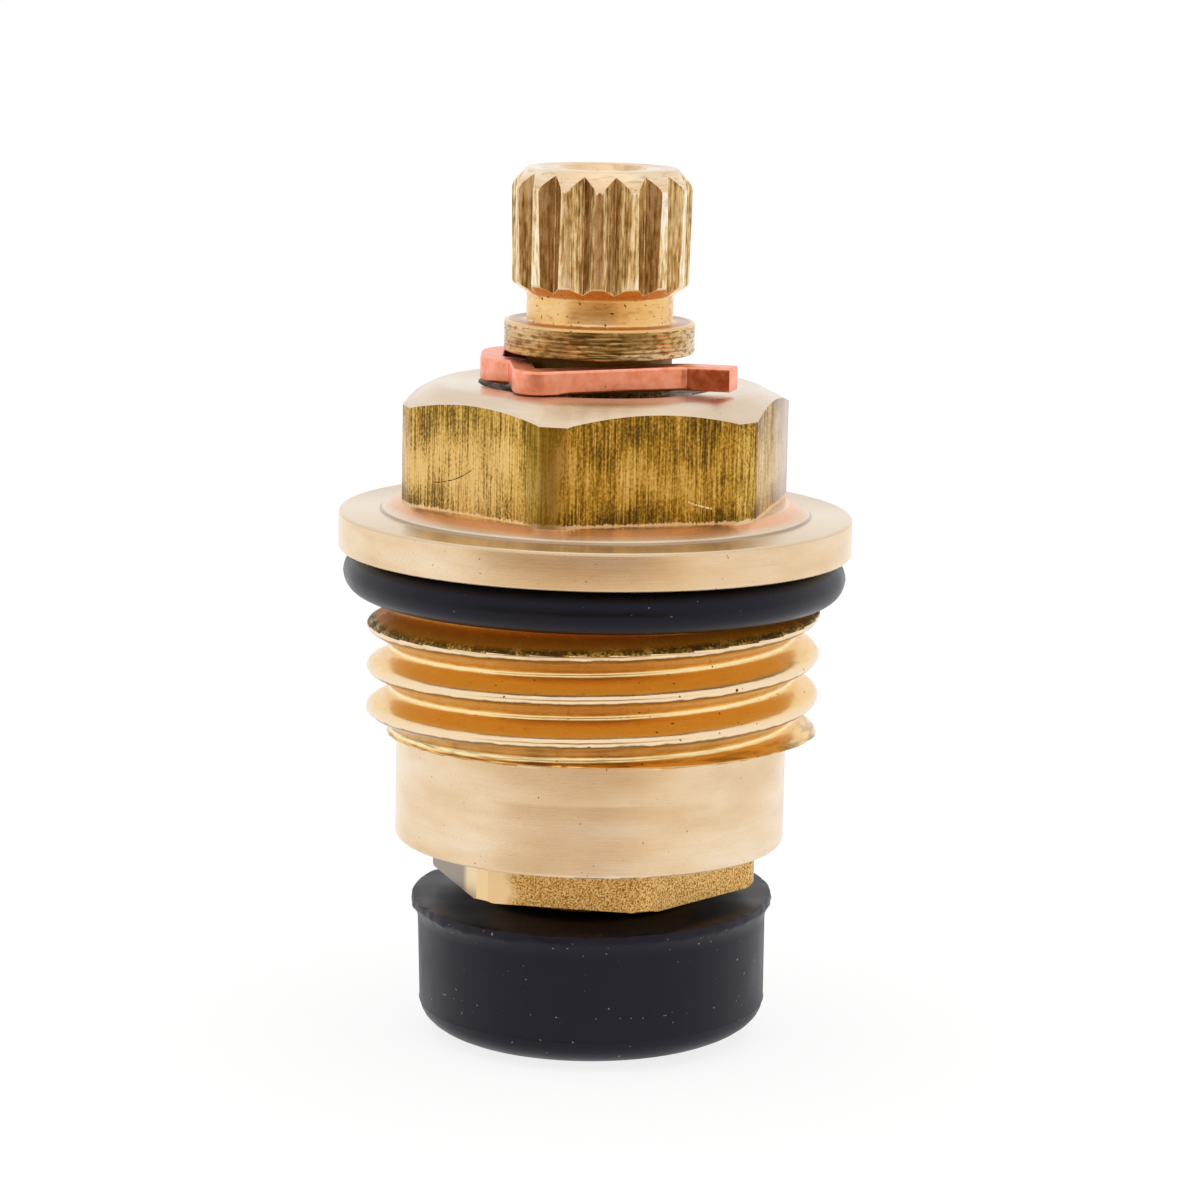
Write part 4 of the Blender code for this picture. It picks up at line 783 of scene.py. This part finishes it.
def makeBody():
    size = bodySizes
    body = turn([
        (0, size["skirtFoot"]), (size["skirtRadius"], size["skirtFoot"], size["skirtEdge"]),
        (size["skirtRadius"], size["skirtLine"] - 0.09), (size["skirtRadius"] - 0.014, size["skirtLine"]),
        (size["skirtRadius"], size["skirtLine"] + 0.06), (size["skirtRadius"], size["threadLow"]),
        (size["neck"], size["threadHigh"]), (size["neck"], 0, 0.1),
        (size["flangeRadius"], 0, 0.12), (size["flangeRadius"], size["flangeTop"], size["flangeEdge"]),
        (size["footRadius"] + 0.09, size["flangeTop"], 0.05),
        (size["footRadius"] - 0.04, size["flangeTop"] + size["footStep"], 0.08),
        (size["hexCorner"] - 0.2, size["hexFoot"], 0.12),
        (0, size["hexFoot"])], size["steps"])
    slope = math.tan(math.radians(size["crownSlope"]))
    crown = turn([
        (0, 0.5), (size["hexCorner"], 0.5),
        (size["hexCorner"], bodyTop - (size["hexCorner"] - size["crownFlat"]) * slope, 0.05),
        (size["crownFlat"], bodyTop, size["crownBlend"] * math.tan(math.radians(size["crownSlope"] / 2))),
        (0, bodyTop)], size["steps"], 5)
    hexagon = hexBar(size["hexFlats"], size["hexAngle"], 0.5, bodyTop + overshoot)
    body = combine(body, "UNION", combine(hexagon, "INTERSECT", crown))
    bore = turn([
        (0, size["guideTop"] - 0.5), (size["chamberRadius"], size["guideTop"] - 0.5),
        (size["chamberRadius"], size["shoulder"]), (size["boreRadius"], size["shoulder"], 0.1),
        (size["boreRadius"], bodyTop - size["mouthDepth"]), (size["mouthRadius"], bodyTop, 0.1),
        (size["mouthRadius"], bodyTop + overshoot), (0, bodyTop + overshoot)], 128)
    body = combine(body, "DIFFERENCE", bore)
    guideFoot = size["skirtFoot"] - overshoot
    rounded = turn([(0, guideFoot - overshoot), (size["guideCorner"], guideFoot - overshoot),
                    (size["guideCorner"], 0), (0, 0)], 128)
    guide = combine(hexBar(size["guideFlats"], size["guideAngle"], guideFoot, size["guideTop"]),
                    "INTERSECT", rounded)
    body = combine(body, "DIFFERENCE", guide)
    softenEdges(body, size["hexEdge"], lambda at: at.z > size["flangeTop"] + 0.15 and at.xy.length > 7.5)
    threadedWall(body)

    def zone(face):
        # 0 turned brass, 1 the hexagon's sides, 2 the thread, 3 the bore's mouth in painted shade, 4 painted
        # shade in the top groove
        at = face.calc_center_median()
        reach = at.xy.length
        onHexagon = size["hexFlats"] / 2 - 0.3 < reach < size["hexCorner"] + 0.05 and abs(face.normal.z) < 0.2
        if onHexagon and size["hexFoot"] - 0.3 < at.z < bodyTop - 0.1:
            return 1
        if size["threadLow"] < at.z < size["threadHigh"] and reach > size["skirtRadius"] + 0.01:
            thread = threadSizes
            turns = (math.atan2(at.y, at.x) % math.tau - math.pi) / math.tau
            crests = [thread["crestHeight"] + thread["pitch"] * (turns + lap) for lap in (0, 1, 2)]
            lowest, highest = thread["topGroove"]
            topCrest = max(crest for crest in crests if crest < highest)
            darkened = topCrest > lowest and at.z > max(topCrest + thread["shadeAbove"], thread["shadeFoot"])
            return 4 if darkened else 2
        if at.z > bodyTop - size["mouthDepth"] - 0.05 and reach < size["mouthRadius"] + 0.02:
            return 3
        return 0

    finishPiece("headworkBody", body, [bodyBrass, flatsBrass, threadBrass, recessShade, threadTopShade], "body",
                ["headwork_body"], chooseMaterial=zone)


makeBody()


# Seal ring under the flange

ringSizes = {"centre": 10.6, "section": 0.985, "height": -1.09, "steps": 192, "flash": 0.015,
             "flashHalf": 0.06}


def makeFlangeRing():
    size = ringSizes
    bm = bmesh.new()
    bmesh.ops.create_circle(bm, segments=48, radius=size["section"])
    bmesh.ops.rotate(bm, verts=bm.verts, cent=(0, 0, 0), matrix=Matrix.Rotation(math.pi / 2, 3, "X"))
    for vert in bm.verts:  # the thin flash line where the mould closed
        if vert.co.x > 0 and abs(vert.co.z) < size["flashHalf"]:
            vert.co.x += size["flash"]
    bmesh.ops.translate(bm, verts=bm.verts, vec=(size["centre"], 0, size["height"]))
    bmesh.ops.spin(bm, geom=bm.verts[:] + bm.edges[:], cent=(0, 0, 0), axis=(0, 0, 1),
                   angle=math.tau, steps=size["steps"], use_merge=True)
    finishPiece("flangeRing", settle(bm), [ringRubber], "body", ["flange_o_ring"], smooth=60)


makeFlangeRing()


# Spindle

spindleSizes = {"steps": 160, "driveRadius": 4.0, "driveFoot": -11.1, "thrustRadius": 6.2, "thrustFoot": -3.4,
                "thrustTop": -2.1, "radius": 4.38, "sealCore": 3.15, "sealHalf": 0.8, "sealDrops": (5.8, 2.6),
                "clipGroove": 3.35, "grooveFoot": 0.3, "collarFoot": 9.19, "collarTop": 10.59,
                "collarRings": 5, "ringsFrom": 0.2, "ringSpacing": 0.19, "ringCrest": 0.008, "ringRoot": 0.045,
                "neck": 3.36, "headFoot": 11.85, "headTop": 17.55, "topRadius": 4.12, "footRadius": 4.04,
                "topChamfer": (0.66, 0.76), "footChamfer": 0.47, "splineEdge": 0.035, "holeRadius": 1.65,
                "holeMouth": 2.05, "holeDepth": 8.8}
splineSizes = {"count": 16, "topValley": 3.6, "footValley": 3.63, "topShare": 0.2, "footShare": 0.38,
               "crestAngle": -91.5, "reach": 1.2, "below": 0.63}
holeThread = {"pitch": 0.7, "depth": 0.3, "round": 0.2, "spacing": 0.05, "low": 10.4, "high": 17.15,
              "inside": 1.7, "highFade": 0.3, "lowFade": 0.6}


def grooveCorners(bm, valley, crest, share, height):
    # A V groove's section: its bottom, and both sides drawn past the crest, of which the share stays flat
    size = splineSizes
    half = math.pi / size["count"] * (1 - share)
    bottom = Vector((valley, 0, height))
    edge = Vector((crest * math.cos(half), crest * math.sin(half), height))
    far = bottom + (edge - bottom) * size["reach"]
    return [bm.verts.new(bottom), bm.verts.new(far), bm.verts.new((far.x, -far.y, far.z))]


def splineCutter():
    size = splineSizes
    bm = bmesh.new()
    foot = bm.faces.new(grooveCorners(bm, size["footValley"], spindleSizes["footRadius"], size["footShare"],
                                      spindleSizes["headFoot"] - size["below"]))
    top = bm.faces.new(grooveCorners(bm, size["topValley"], spindleSizes["topRadius"], size["topShare"],
                                     spindleSizes["headTop"] + overshoot))
    bmesh.ops.bridge_loops(bm, edges=foot.edges[:] + top.edges[:])
    step = math.tau / size["count"]
    bmesh.ops.rotate(bm, verts=bm.verts, cent=(0, 0, 0),
                     matrix=Matrix.Rotation(math.radians(size["crestAngle"]) + step / 2, 3, "Z"))
    bmesh.ops.spin(bm, geom=bm.verts[:] + bm.edges[:] + bm.faces[:], cent=(0, 0, 0), axis=(0, 0, 1),
                   angle=step * (size["count"] - 1), steps=size["count"] - 1, use_duplicate=True)
    bmesh.ops.recalc_face_normals(bm, faces=bm.faces)
    return bm


def makeSpindle():
    size = spindleSizes
    outline = [
        (0, size["driveFoot"]), (size["driveRadius"], size["driveFoot"], 0.4),
        (size["driveRadius"], size["thrustFoot"]), (size["thrustRadius"], size["thrustFoot"], 0.15),
        (size["thrustRadius"], size["thrustTop"], 0.15), (size["radius"], size["thrustTop"])]
    for drop in size["sealDrops"]:
        middle = bodyTop - drop
        low, high = middle - size["sealHalf"], middle + size["sealHalf"]
        outline += [(size["radius"], low, 0.06), (size["sealCore"], low), (size["sealCore"], high),
                    (size["radius"], high, 0.06)]
    outline += [(size["radius"], bodyTop - size["grooveFoot"]),
                (size["clipGroove"], bodyTop - size["grooveFoot"], 0.1),
                (size["clipGroove"], size["collarFoot"], 0.1), (size["radius"], size["collarFoot"], 0.1)]
    # Rings that the turning tool left on the collar
    rise = size["collarFoot"] + size["ringsFrom"]
    for ring in range(size["collarRings"]):
        outline += [(size["radius"] - size["ringCrest"], rise + ring * size["ringSpacing"]),
                    (size["radius"] - size["ringRoot"], rise + (ring + 0.5) * size["ringSpacing"])]
    outline.append((size["radius"], rise + size["collarRings"] * size["ringSpacing"]))
    width, height = size["topChamfer"]
    outline += [
        (size["radius"], size["collarTop"], 0.12), (size["neck"], size["collarTop"], 0.15),
        (size["neck"], size["headFoot"], 0.12),
        (size["footRadius"], size["headFoot"] + size["footChamfer"], 0.08),
        (size["topRadius"], size["headTop"] - height, 0.2), (size["topRadius"] - width, size["headTop"], 0.06),
        (size["holeMouth"], size["headTop"], 0.05), (size["holeRadius"], holeThread["high"]),
        (size["holeRadius"], holeThread["low"]), (0, size["headTop"] - size["holeDepth"])]
    spindle = combine(turn(outline, size["steps"]), "DIFFERENCE", splineCutter())
    besideNeck = size["neck"] + 0.04
    softenEdges(spindle, size["splineEdge"], lambda at: size["headFoot"] - 0.1 < at.z < size["headTop"] - 0.01
                and at.xy.length > besideNeck, angle=24)
    thread = holeThread
    cutRings(spindle, thread["low"], thread["high"], thread["inside"], thread["spacing"])
    for vert in spindle.verts:
        height = vert.co.z
        if vert.co.xy.length < thread["inside"] and thread["low"] + weld < height < thread["high"] - weld:
            turns = height / thread["pitch"] - math.atan2(vert.co.y, vert.co.x) / math.tau
            share = abs(turns - round(turns)) * 2
            fade = min(1, (thread["high"] - height) / thread["highFade"],
                       (height - thread["low"]) / thread["lowFade"])
            groove = thread["depth"] * wave(1 - share, thread["round"], thread["round"]) * fade
            vert.co.xy = vert.co.xy.normalized() * (size["holeRadius"] + groove)

    def zone(face):
        # 0 turned brass, 1 the grooves, 2 the collar's wall, 3 the neck, warmer with painted reflection, 4 the
        # clip's groove in painted shade,
        # 5 the splines' crests, paler with painted light, 6 the cone under the head with a painted orange glow
        at = face.calc_center_median()
        collarEdge = size["collarTop"] - 0.14
        coneTop = size["headFoot"] + size["footChamfer"]
        if size["collarFoot"] - 0.05 < at.z < collarEdge and at.xy.length > 4:
            return 2
        if size["headFoot"] < at.z < coneTop and face.normal.z < -0.3:
            return 6
        if collarEdge < at.z < coneTop - 0.02:
            return 3
        onHead = size["headFoot"] < at.z < size["headTop"] and at.xy.length > besideNeck
        if onHead and abs(face.normal.z) < 0.2:
            return 5 if face.normal.xy.dot(at.xy.normalized()) > 0.95 else 1
        if bodyTop - size["grooveFoot"] - 0.05 < at.z < size["collarFoot"] + 0.05:
            return 4
        return 0

    materials = [spindleBrass, splineBrass, collarBrass, neckBrass, recessShade, crestBrass, coneBrass]
    finishPiece("spindleStem", spindle, materials, "spindle", ["spindle"],
                chooseMaterial=zone)


makeSpindle()


# Retaining clip

clipSizes = {"wire": 1.1, "edge": 0.15, "endEdge": 0.05, "legAngle": 18.2, "pinchX": 3.85, "tipAngle": -22,
             "tipLength": 2.4, "rearEndX": 3.2, "shoulderX": -3.25, "waistGap": 0.15, "waistAngle": 29,
             "loop": (-4.86, 1.35), "bends": (1.0, 0.65, 0.7, 0.9), "tilt": 1.9, "lean": -0.4, "tailRise": 1.8,
             "tailFrom": 0.45, "bendSteps": 12, "gap": 0.05}


def clipCorners():
    # Corners of the wire's middle line in plan, from the tail's tip round the spindle to the rear end
    size = clipSizes
    legDistance = spindleSizes["clipGroove"] + size["gap"] + size["wire"] / 2
    slope = math.radians(size["legAngle"])

    def legPoint(x):
        return Vector((x, x * math.tan(slope) - legDistance / math.cos(slope)))

    pinch = legPoint(size["pinchX"])
    tip = pinch + Matrix.Rotation(math.radians(size["tipAngle"]), 2) @ Vector((size["tipLength"], 0))
    waistTurn = Matrix.Rotation(math.radians(size["waistAngle"]), 2)
    waist = waistTurn @ Vector((-legDistance - size["waistGap"], 0))
    around = [legPoint(size["shoulderX"]), waist, Vector((size["loop"][0], -size["loop"][1]))]
    rearEnd = legPoint(size["rearEndX"])
    rear = [Vector((point.x, -point.y)) for point in [*reversed(around), rearEnd]]
    return [tip, pinch, *around, *rear]


def makeClip():
    size = clipSizes
    corners = clipCorners()
    bends = [*size["bends"], *size["bends"][:0:-1]]
    half = size["wire"] / 2
    ahead = (corners[1] - corners[0]).normalized()
    side = Vector((-ahead.y, ahead.x)) * half
    bm = bmesh.new()
    square = [bm.verts.new((*(corners[0] + side * across), half * up))
              for across, up in ((-1, -1), (1, -1), (1, 1), (-1, 1))]
    bm.faces.new(square)
    bmesh.ops.bevel(bm, geom=square, offset=size["edge"], offset_type="OFFSET", affect="VERTICES",
                    segments=3, profile=0.5, material=-1)
    end = bm.faces[:]
    place = corners[0]
    for index, bend in enumerate(bends):
        before, corner, after = corners[index:index + 3]
        inward, outward = (before - corner).normalized(), (after - corner).normalized()
        halfAngle = inward.angle(outward) / 2
        reach = bend / math.tan(halfAngle)
        centre = corner + (inward + outward).normalized() * bend / math.sin(halfAngle)
        start = corner + inward * reach
        sweep = math.copysign(math.pi - 2 * halfAngle, (start - centre).cross(corner + outward * reach - centre))
        end = pull(bm, end, (*(start - place), 0), keep=index == 0)
        spun = bmesh.ops.spin(bm, geom=end + end[0].edges[:] + end[0].verts[:], cent=(*centre, 0),
                              axis=(0, 0, 1), angle=sweep, steps=size["bendSteps"])["geom_last"]
        end = [item for item in spun if isinstance(item, bmesh.types.BMFace)]
        place = corner + outward * reach
    pull(bm, end, (*(corners[-1] - place), 0))
    settle(bm)
    softenEdges(bm, size["endEdge"], lambda at: (at.xy - corners[0]).length < 0.8
                or (at.xy - corners[-1]).length < 0.8, angle=60)
    bmesh.ops.rotate(bm, verts=bm.verts, cent=(0, 0, 0),
                     matrix=Matrix.Rotation(math.radians(size["tilt"]), 3, "X")
                     @ Matrix.Rotation(math.radians(size["lean"]), 3, "Y"))
    for vert in bm.verts:  # the tail rises past the pinch
        if vert.co.x > size["pinchX"] and vert.co.y < 0:
            vert.co.z += (vert.co.x - size["pinchX"]) * math.tan(math.radians(size["tailRise"]))
    lowest = min(vert.co.z for vert in bm.verts)
    bmesh.ops.translate(bm, verts=bm.verts, vec=(0, 0, bodyTop + size["gap"] - lowest))

    def zone(face):
        # 0 the wire, 1 the tail's face that looks to the front, in painted shade
        return int(face.calc_center_median().x > size["pinchX"] + size["tailFrom"] and face.normal.y < -0.85)

    finishPiece("retainingClip", bm, [clipBronze, tailBronze], "spindle", ["retaining_clip"],
                chooseMaterial=zone)


makeClip()


# Slider, shifted and turned a little within its play in the guide

sliderSizes = {"flats": 13.5, "corner": 7.6, "angle": -12.4, "foot": -15.45, "top": -6.0, "edge": 0.08,
               "bossRadius": 5.0, "bossFoot": -16.05, "boreRadius": 4.1, "boreFloor": -13.7, "boreChamfer": 0.4,
               "hole": 2.0, "shift": 0.2, "yaw": 1.2}


def makeSlider():
    size = sliderSizes
    blank = turn([(0, size["foot"]), (size["corner"], size["foot"], 0.15), (size["corner"], size["top"], 0.2),
                  (0, size["top"])], 128)
    slider = combine(hexBar(size["flats"], size["angle"], size["foot"] - overshoot, size["top"] + overshoot),
                     "INTERSECT", blank)
    softenEdges(slider, size["edge"], lambda at: True)
    boss = turn([(0, size["bossFoot"]), (size["bossRadius"], size["bossFoot"], 0.1),
                 (size["bossRadius"], size["foot"] + 0.8), (0, size["foot"] + 0.8)], 96)
    slider = combine(slider, "UNION", boss)
    bore = turn([(0, size["bossFoot"] - overshoot), (size["hole"], size["bossFoot"] - overshoot),
                 (size["hole"], size["boreFloor"]), (size["boreRadius"], size["boreFloor"]),
                 (size["boreRadius"], size["top"] - size["boreChamfer"]),
                 (size["boreRadius"] + size["boreChamfer"] + overshoot, size["top"] + overshoot),
                 (0, size["top"] + overshoot)], 96)
    slider = combine(slider, "DIFFERENCE", bore)
    bmesh.ops.rotate(slider, verts=slider.verts, cent=(0, 0, 0),
                     matrix=Matrix.Rotation(math.radians(size["yaw"]), 3, "Z"))
    bmesh.ops.translate(slider, verts=slider.verts, vec=(size["shift"], 0, 0))
    finishPiece("hexSlider", slider, [sliderBrass], "slider", ["slider"])


makeSlider()


# Tap washer, its plate and its screw. The washer hangs a little askew, as far as the skirt leaves room.

washerSizes = {"steps": 256, "top": -16.2, "lipRadius": 8.42, "topRadius": 8.1, "footRadius": 8.05,
               "foot": -22.63, "edge": (2.35, 1.35), "edgeSteps": 8, "recess": 4.2, "recessTop": -19.5,
               "hole": 2.0, "tilt": (0.9, -1.15), "shift": 0.165, "ragged": 0.06}
plateSizes = {"hole": 2.0, "radius": 3.95, "foot": -20.1, "top": -19.55}
screwSizes = {"headRadius": 3.0, "headFoot": -21.45, "headTop": -20.15, "radius": 1.95, "shoulder": -14.3,
              "tip": -14.0, "slot": (8, 0.8, 1.3)}


def makeTapWasher():
    size = washerSizes
    edgeWidth, edgeHeight = size["edge"]
    outline = [(size["hole"], size["top"]), (size["lipRadius"] - 0.4, size["top"]),
               (size["lipRadius"] - 0.05, size["top"], 0.04),
               (size["lipRadius"], size["top"] - 0.35, 0.06), (size["topRadius"] + 0.03, size["top"] - 0.85, 0.3),
               (size["footRadius"] + 0.03, size["foot"] + edgeHeight + 0.12),
               (size["footRadius"] + 0.05, size["foot"] + edgeHeight + 0.04)]
    for step in range(size["edgeSteps"] + 1):
        angle = math.pi / 2 * step / size["edgeSteps"]
        outline.append((size["footRadius"] - edgeWidth * (1 - math.cos(angle)),
                        size["foot"] + edgeHeight * (1 - math.sin(angle))))
    outline += [(size["recess"], size["foot"], 0.3), (size["recess"], size["recessTop"], 0.2),
                (size["hole"], size["recessTop"])]
    bm = turn(outline, size["steps"])
    for vert in bm.verts:  # the torn, uneven rim
        if vert.co.xy.length > size["lipRadius"] - 0.12 and vert.co.z > size["top"] - 0.5:
            ragged = noise.noise(vert.co.xyz * 1.3) + 0.6 * noise.noise(vert.co.xyz * 4)
            vert.co.xy *= 1 + size["ragged"] * ragged / size["lipRadius"]
            vert.co.z -= abs(ragged) * size["ragged"]
    tiltX, tiltY = (math.radians(angle) for angle in size["tilt"])
    bmesh.ops.rotate(bm, verts=bm.verts, cent=(0, 0, size["top"]),
                     matrix=Matrix.Rotation(tiltY, 3, "Y") @ Matrix.Rotation(tiltX, 3, "X"))
    bmesh.ops.translate(bm, verts=bm.verts, vec=(size["shift"], 0, 0))
    finishPiece("tapWasher", bm, [washerRubber], "slider", ["tap_washer"])


def makeWasherPlate():
    size = plateSizes
    bm = turn([(size["hole"], size["foot"]), (size["radius"], size["foot"], 0.12),
               (size["radius"], size["top"], 0.05), (size["hole"], size["top"])], 96)
    finishPiece("washerPlate", bm, [screwBrass], "slider", ["washer_plate"])


def makeWasherScrew():
    size = screwSizes
    bm = turn([(0, size["headFoot"]), (size["headRadius"], size["headFoot"], 0.3),
               (size["headRadius"], size["headTop"], 0.05), (size["radius"], size["headTop"]),
               (size["radius"], size["shoulder"], 0.3), (0, size["tip"])], 96)
    slot = bmesh.new()
    bmesh.ops.create_cube(slot, size=1)
    bmesh.ops.scale(slot, verts=slot.verts, vec=size["slot"])
    bmesh.ops.translate(slot, verts=slot.verts, vec=(0, 0, size["headFoot"]))
    screw = combine(bm, "DIFFERENCE", slot)
    softenEdges(screw, 0.05, lambda at: at.z < size["headTop"] - 0.15, angle=40)
    finishPiece("washerScrew", screw, [screwBrass], "slider", ["washer_screw"])


makeTapWasher()
makeWasherPlate()
makeWasherScrew()


# Hidden seals and thrust washer keep their CAD shapes

acetalLook = {"main": "#DDD9CE", "pale": "#EFECE4", "cloudSize": 2.0, "gloss": 0.35, "dull": 0.5}


def acetalPlastic(name, look):
    # Natural acetal, machined: milky white and waxy
    material, tree, shader, place = startMaterial(name, {"IOR": 1.48, "Subsurface Weight": 0.1,
                                                         "Subsurface Scale": 0.0005})
    cloud = addNode(tree, "ShaderNodeTexNoise", {"Vector": place, "Scale": 1000 / look["cloudSize"]})
    tree.links.new(addNode(tree, "ShaderNodeValToRGB", {"Fac": cloud},
                           stops=[(0.3, look["main"]), (0.7, look["pale"])]), shader.inputs["Base Color"])
    tree.links.new(addNode(tree, "ShaderNodeMapRange", {0: cloud, 3: look["gloss"], 4: look["dull"]}),
                   shader.inputs["Roughness"])
    return material


acetal = acetalPlastic("acetalWasher", acetalLook)
for nodeName, material in (("spindle_o_ring_upper", ringRubber), ("spindle_o_ring_lower", ringRubber),
                           ("thrust_washer", acetal)):
    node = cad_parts[nodeName]
    node.data.materials.clear()
    node.data.materials.append(material)
print("hidden nodes finished")
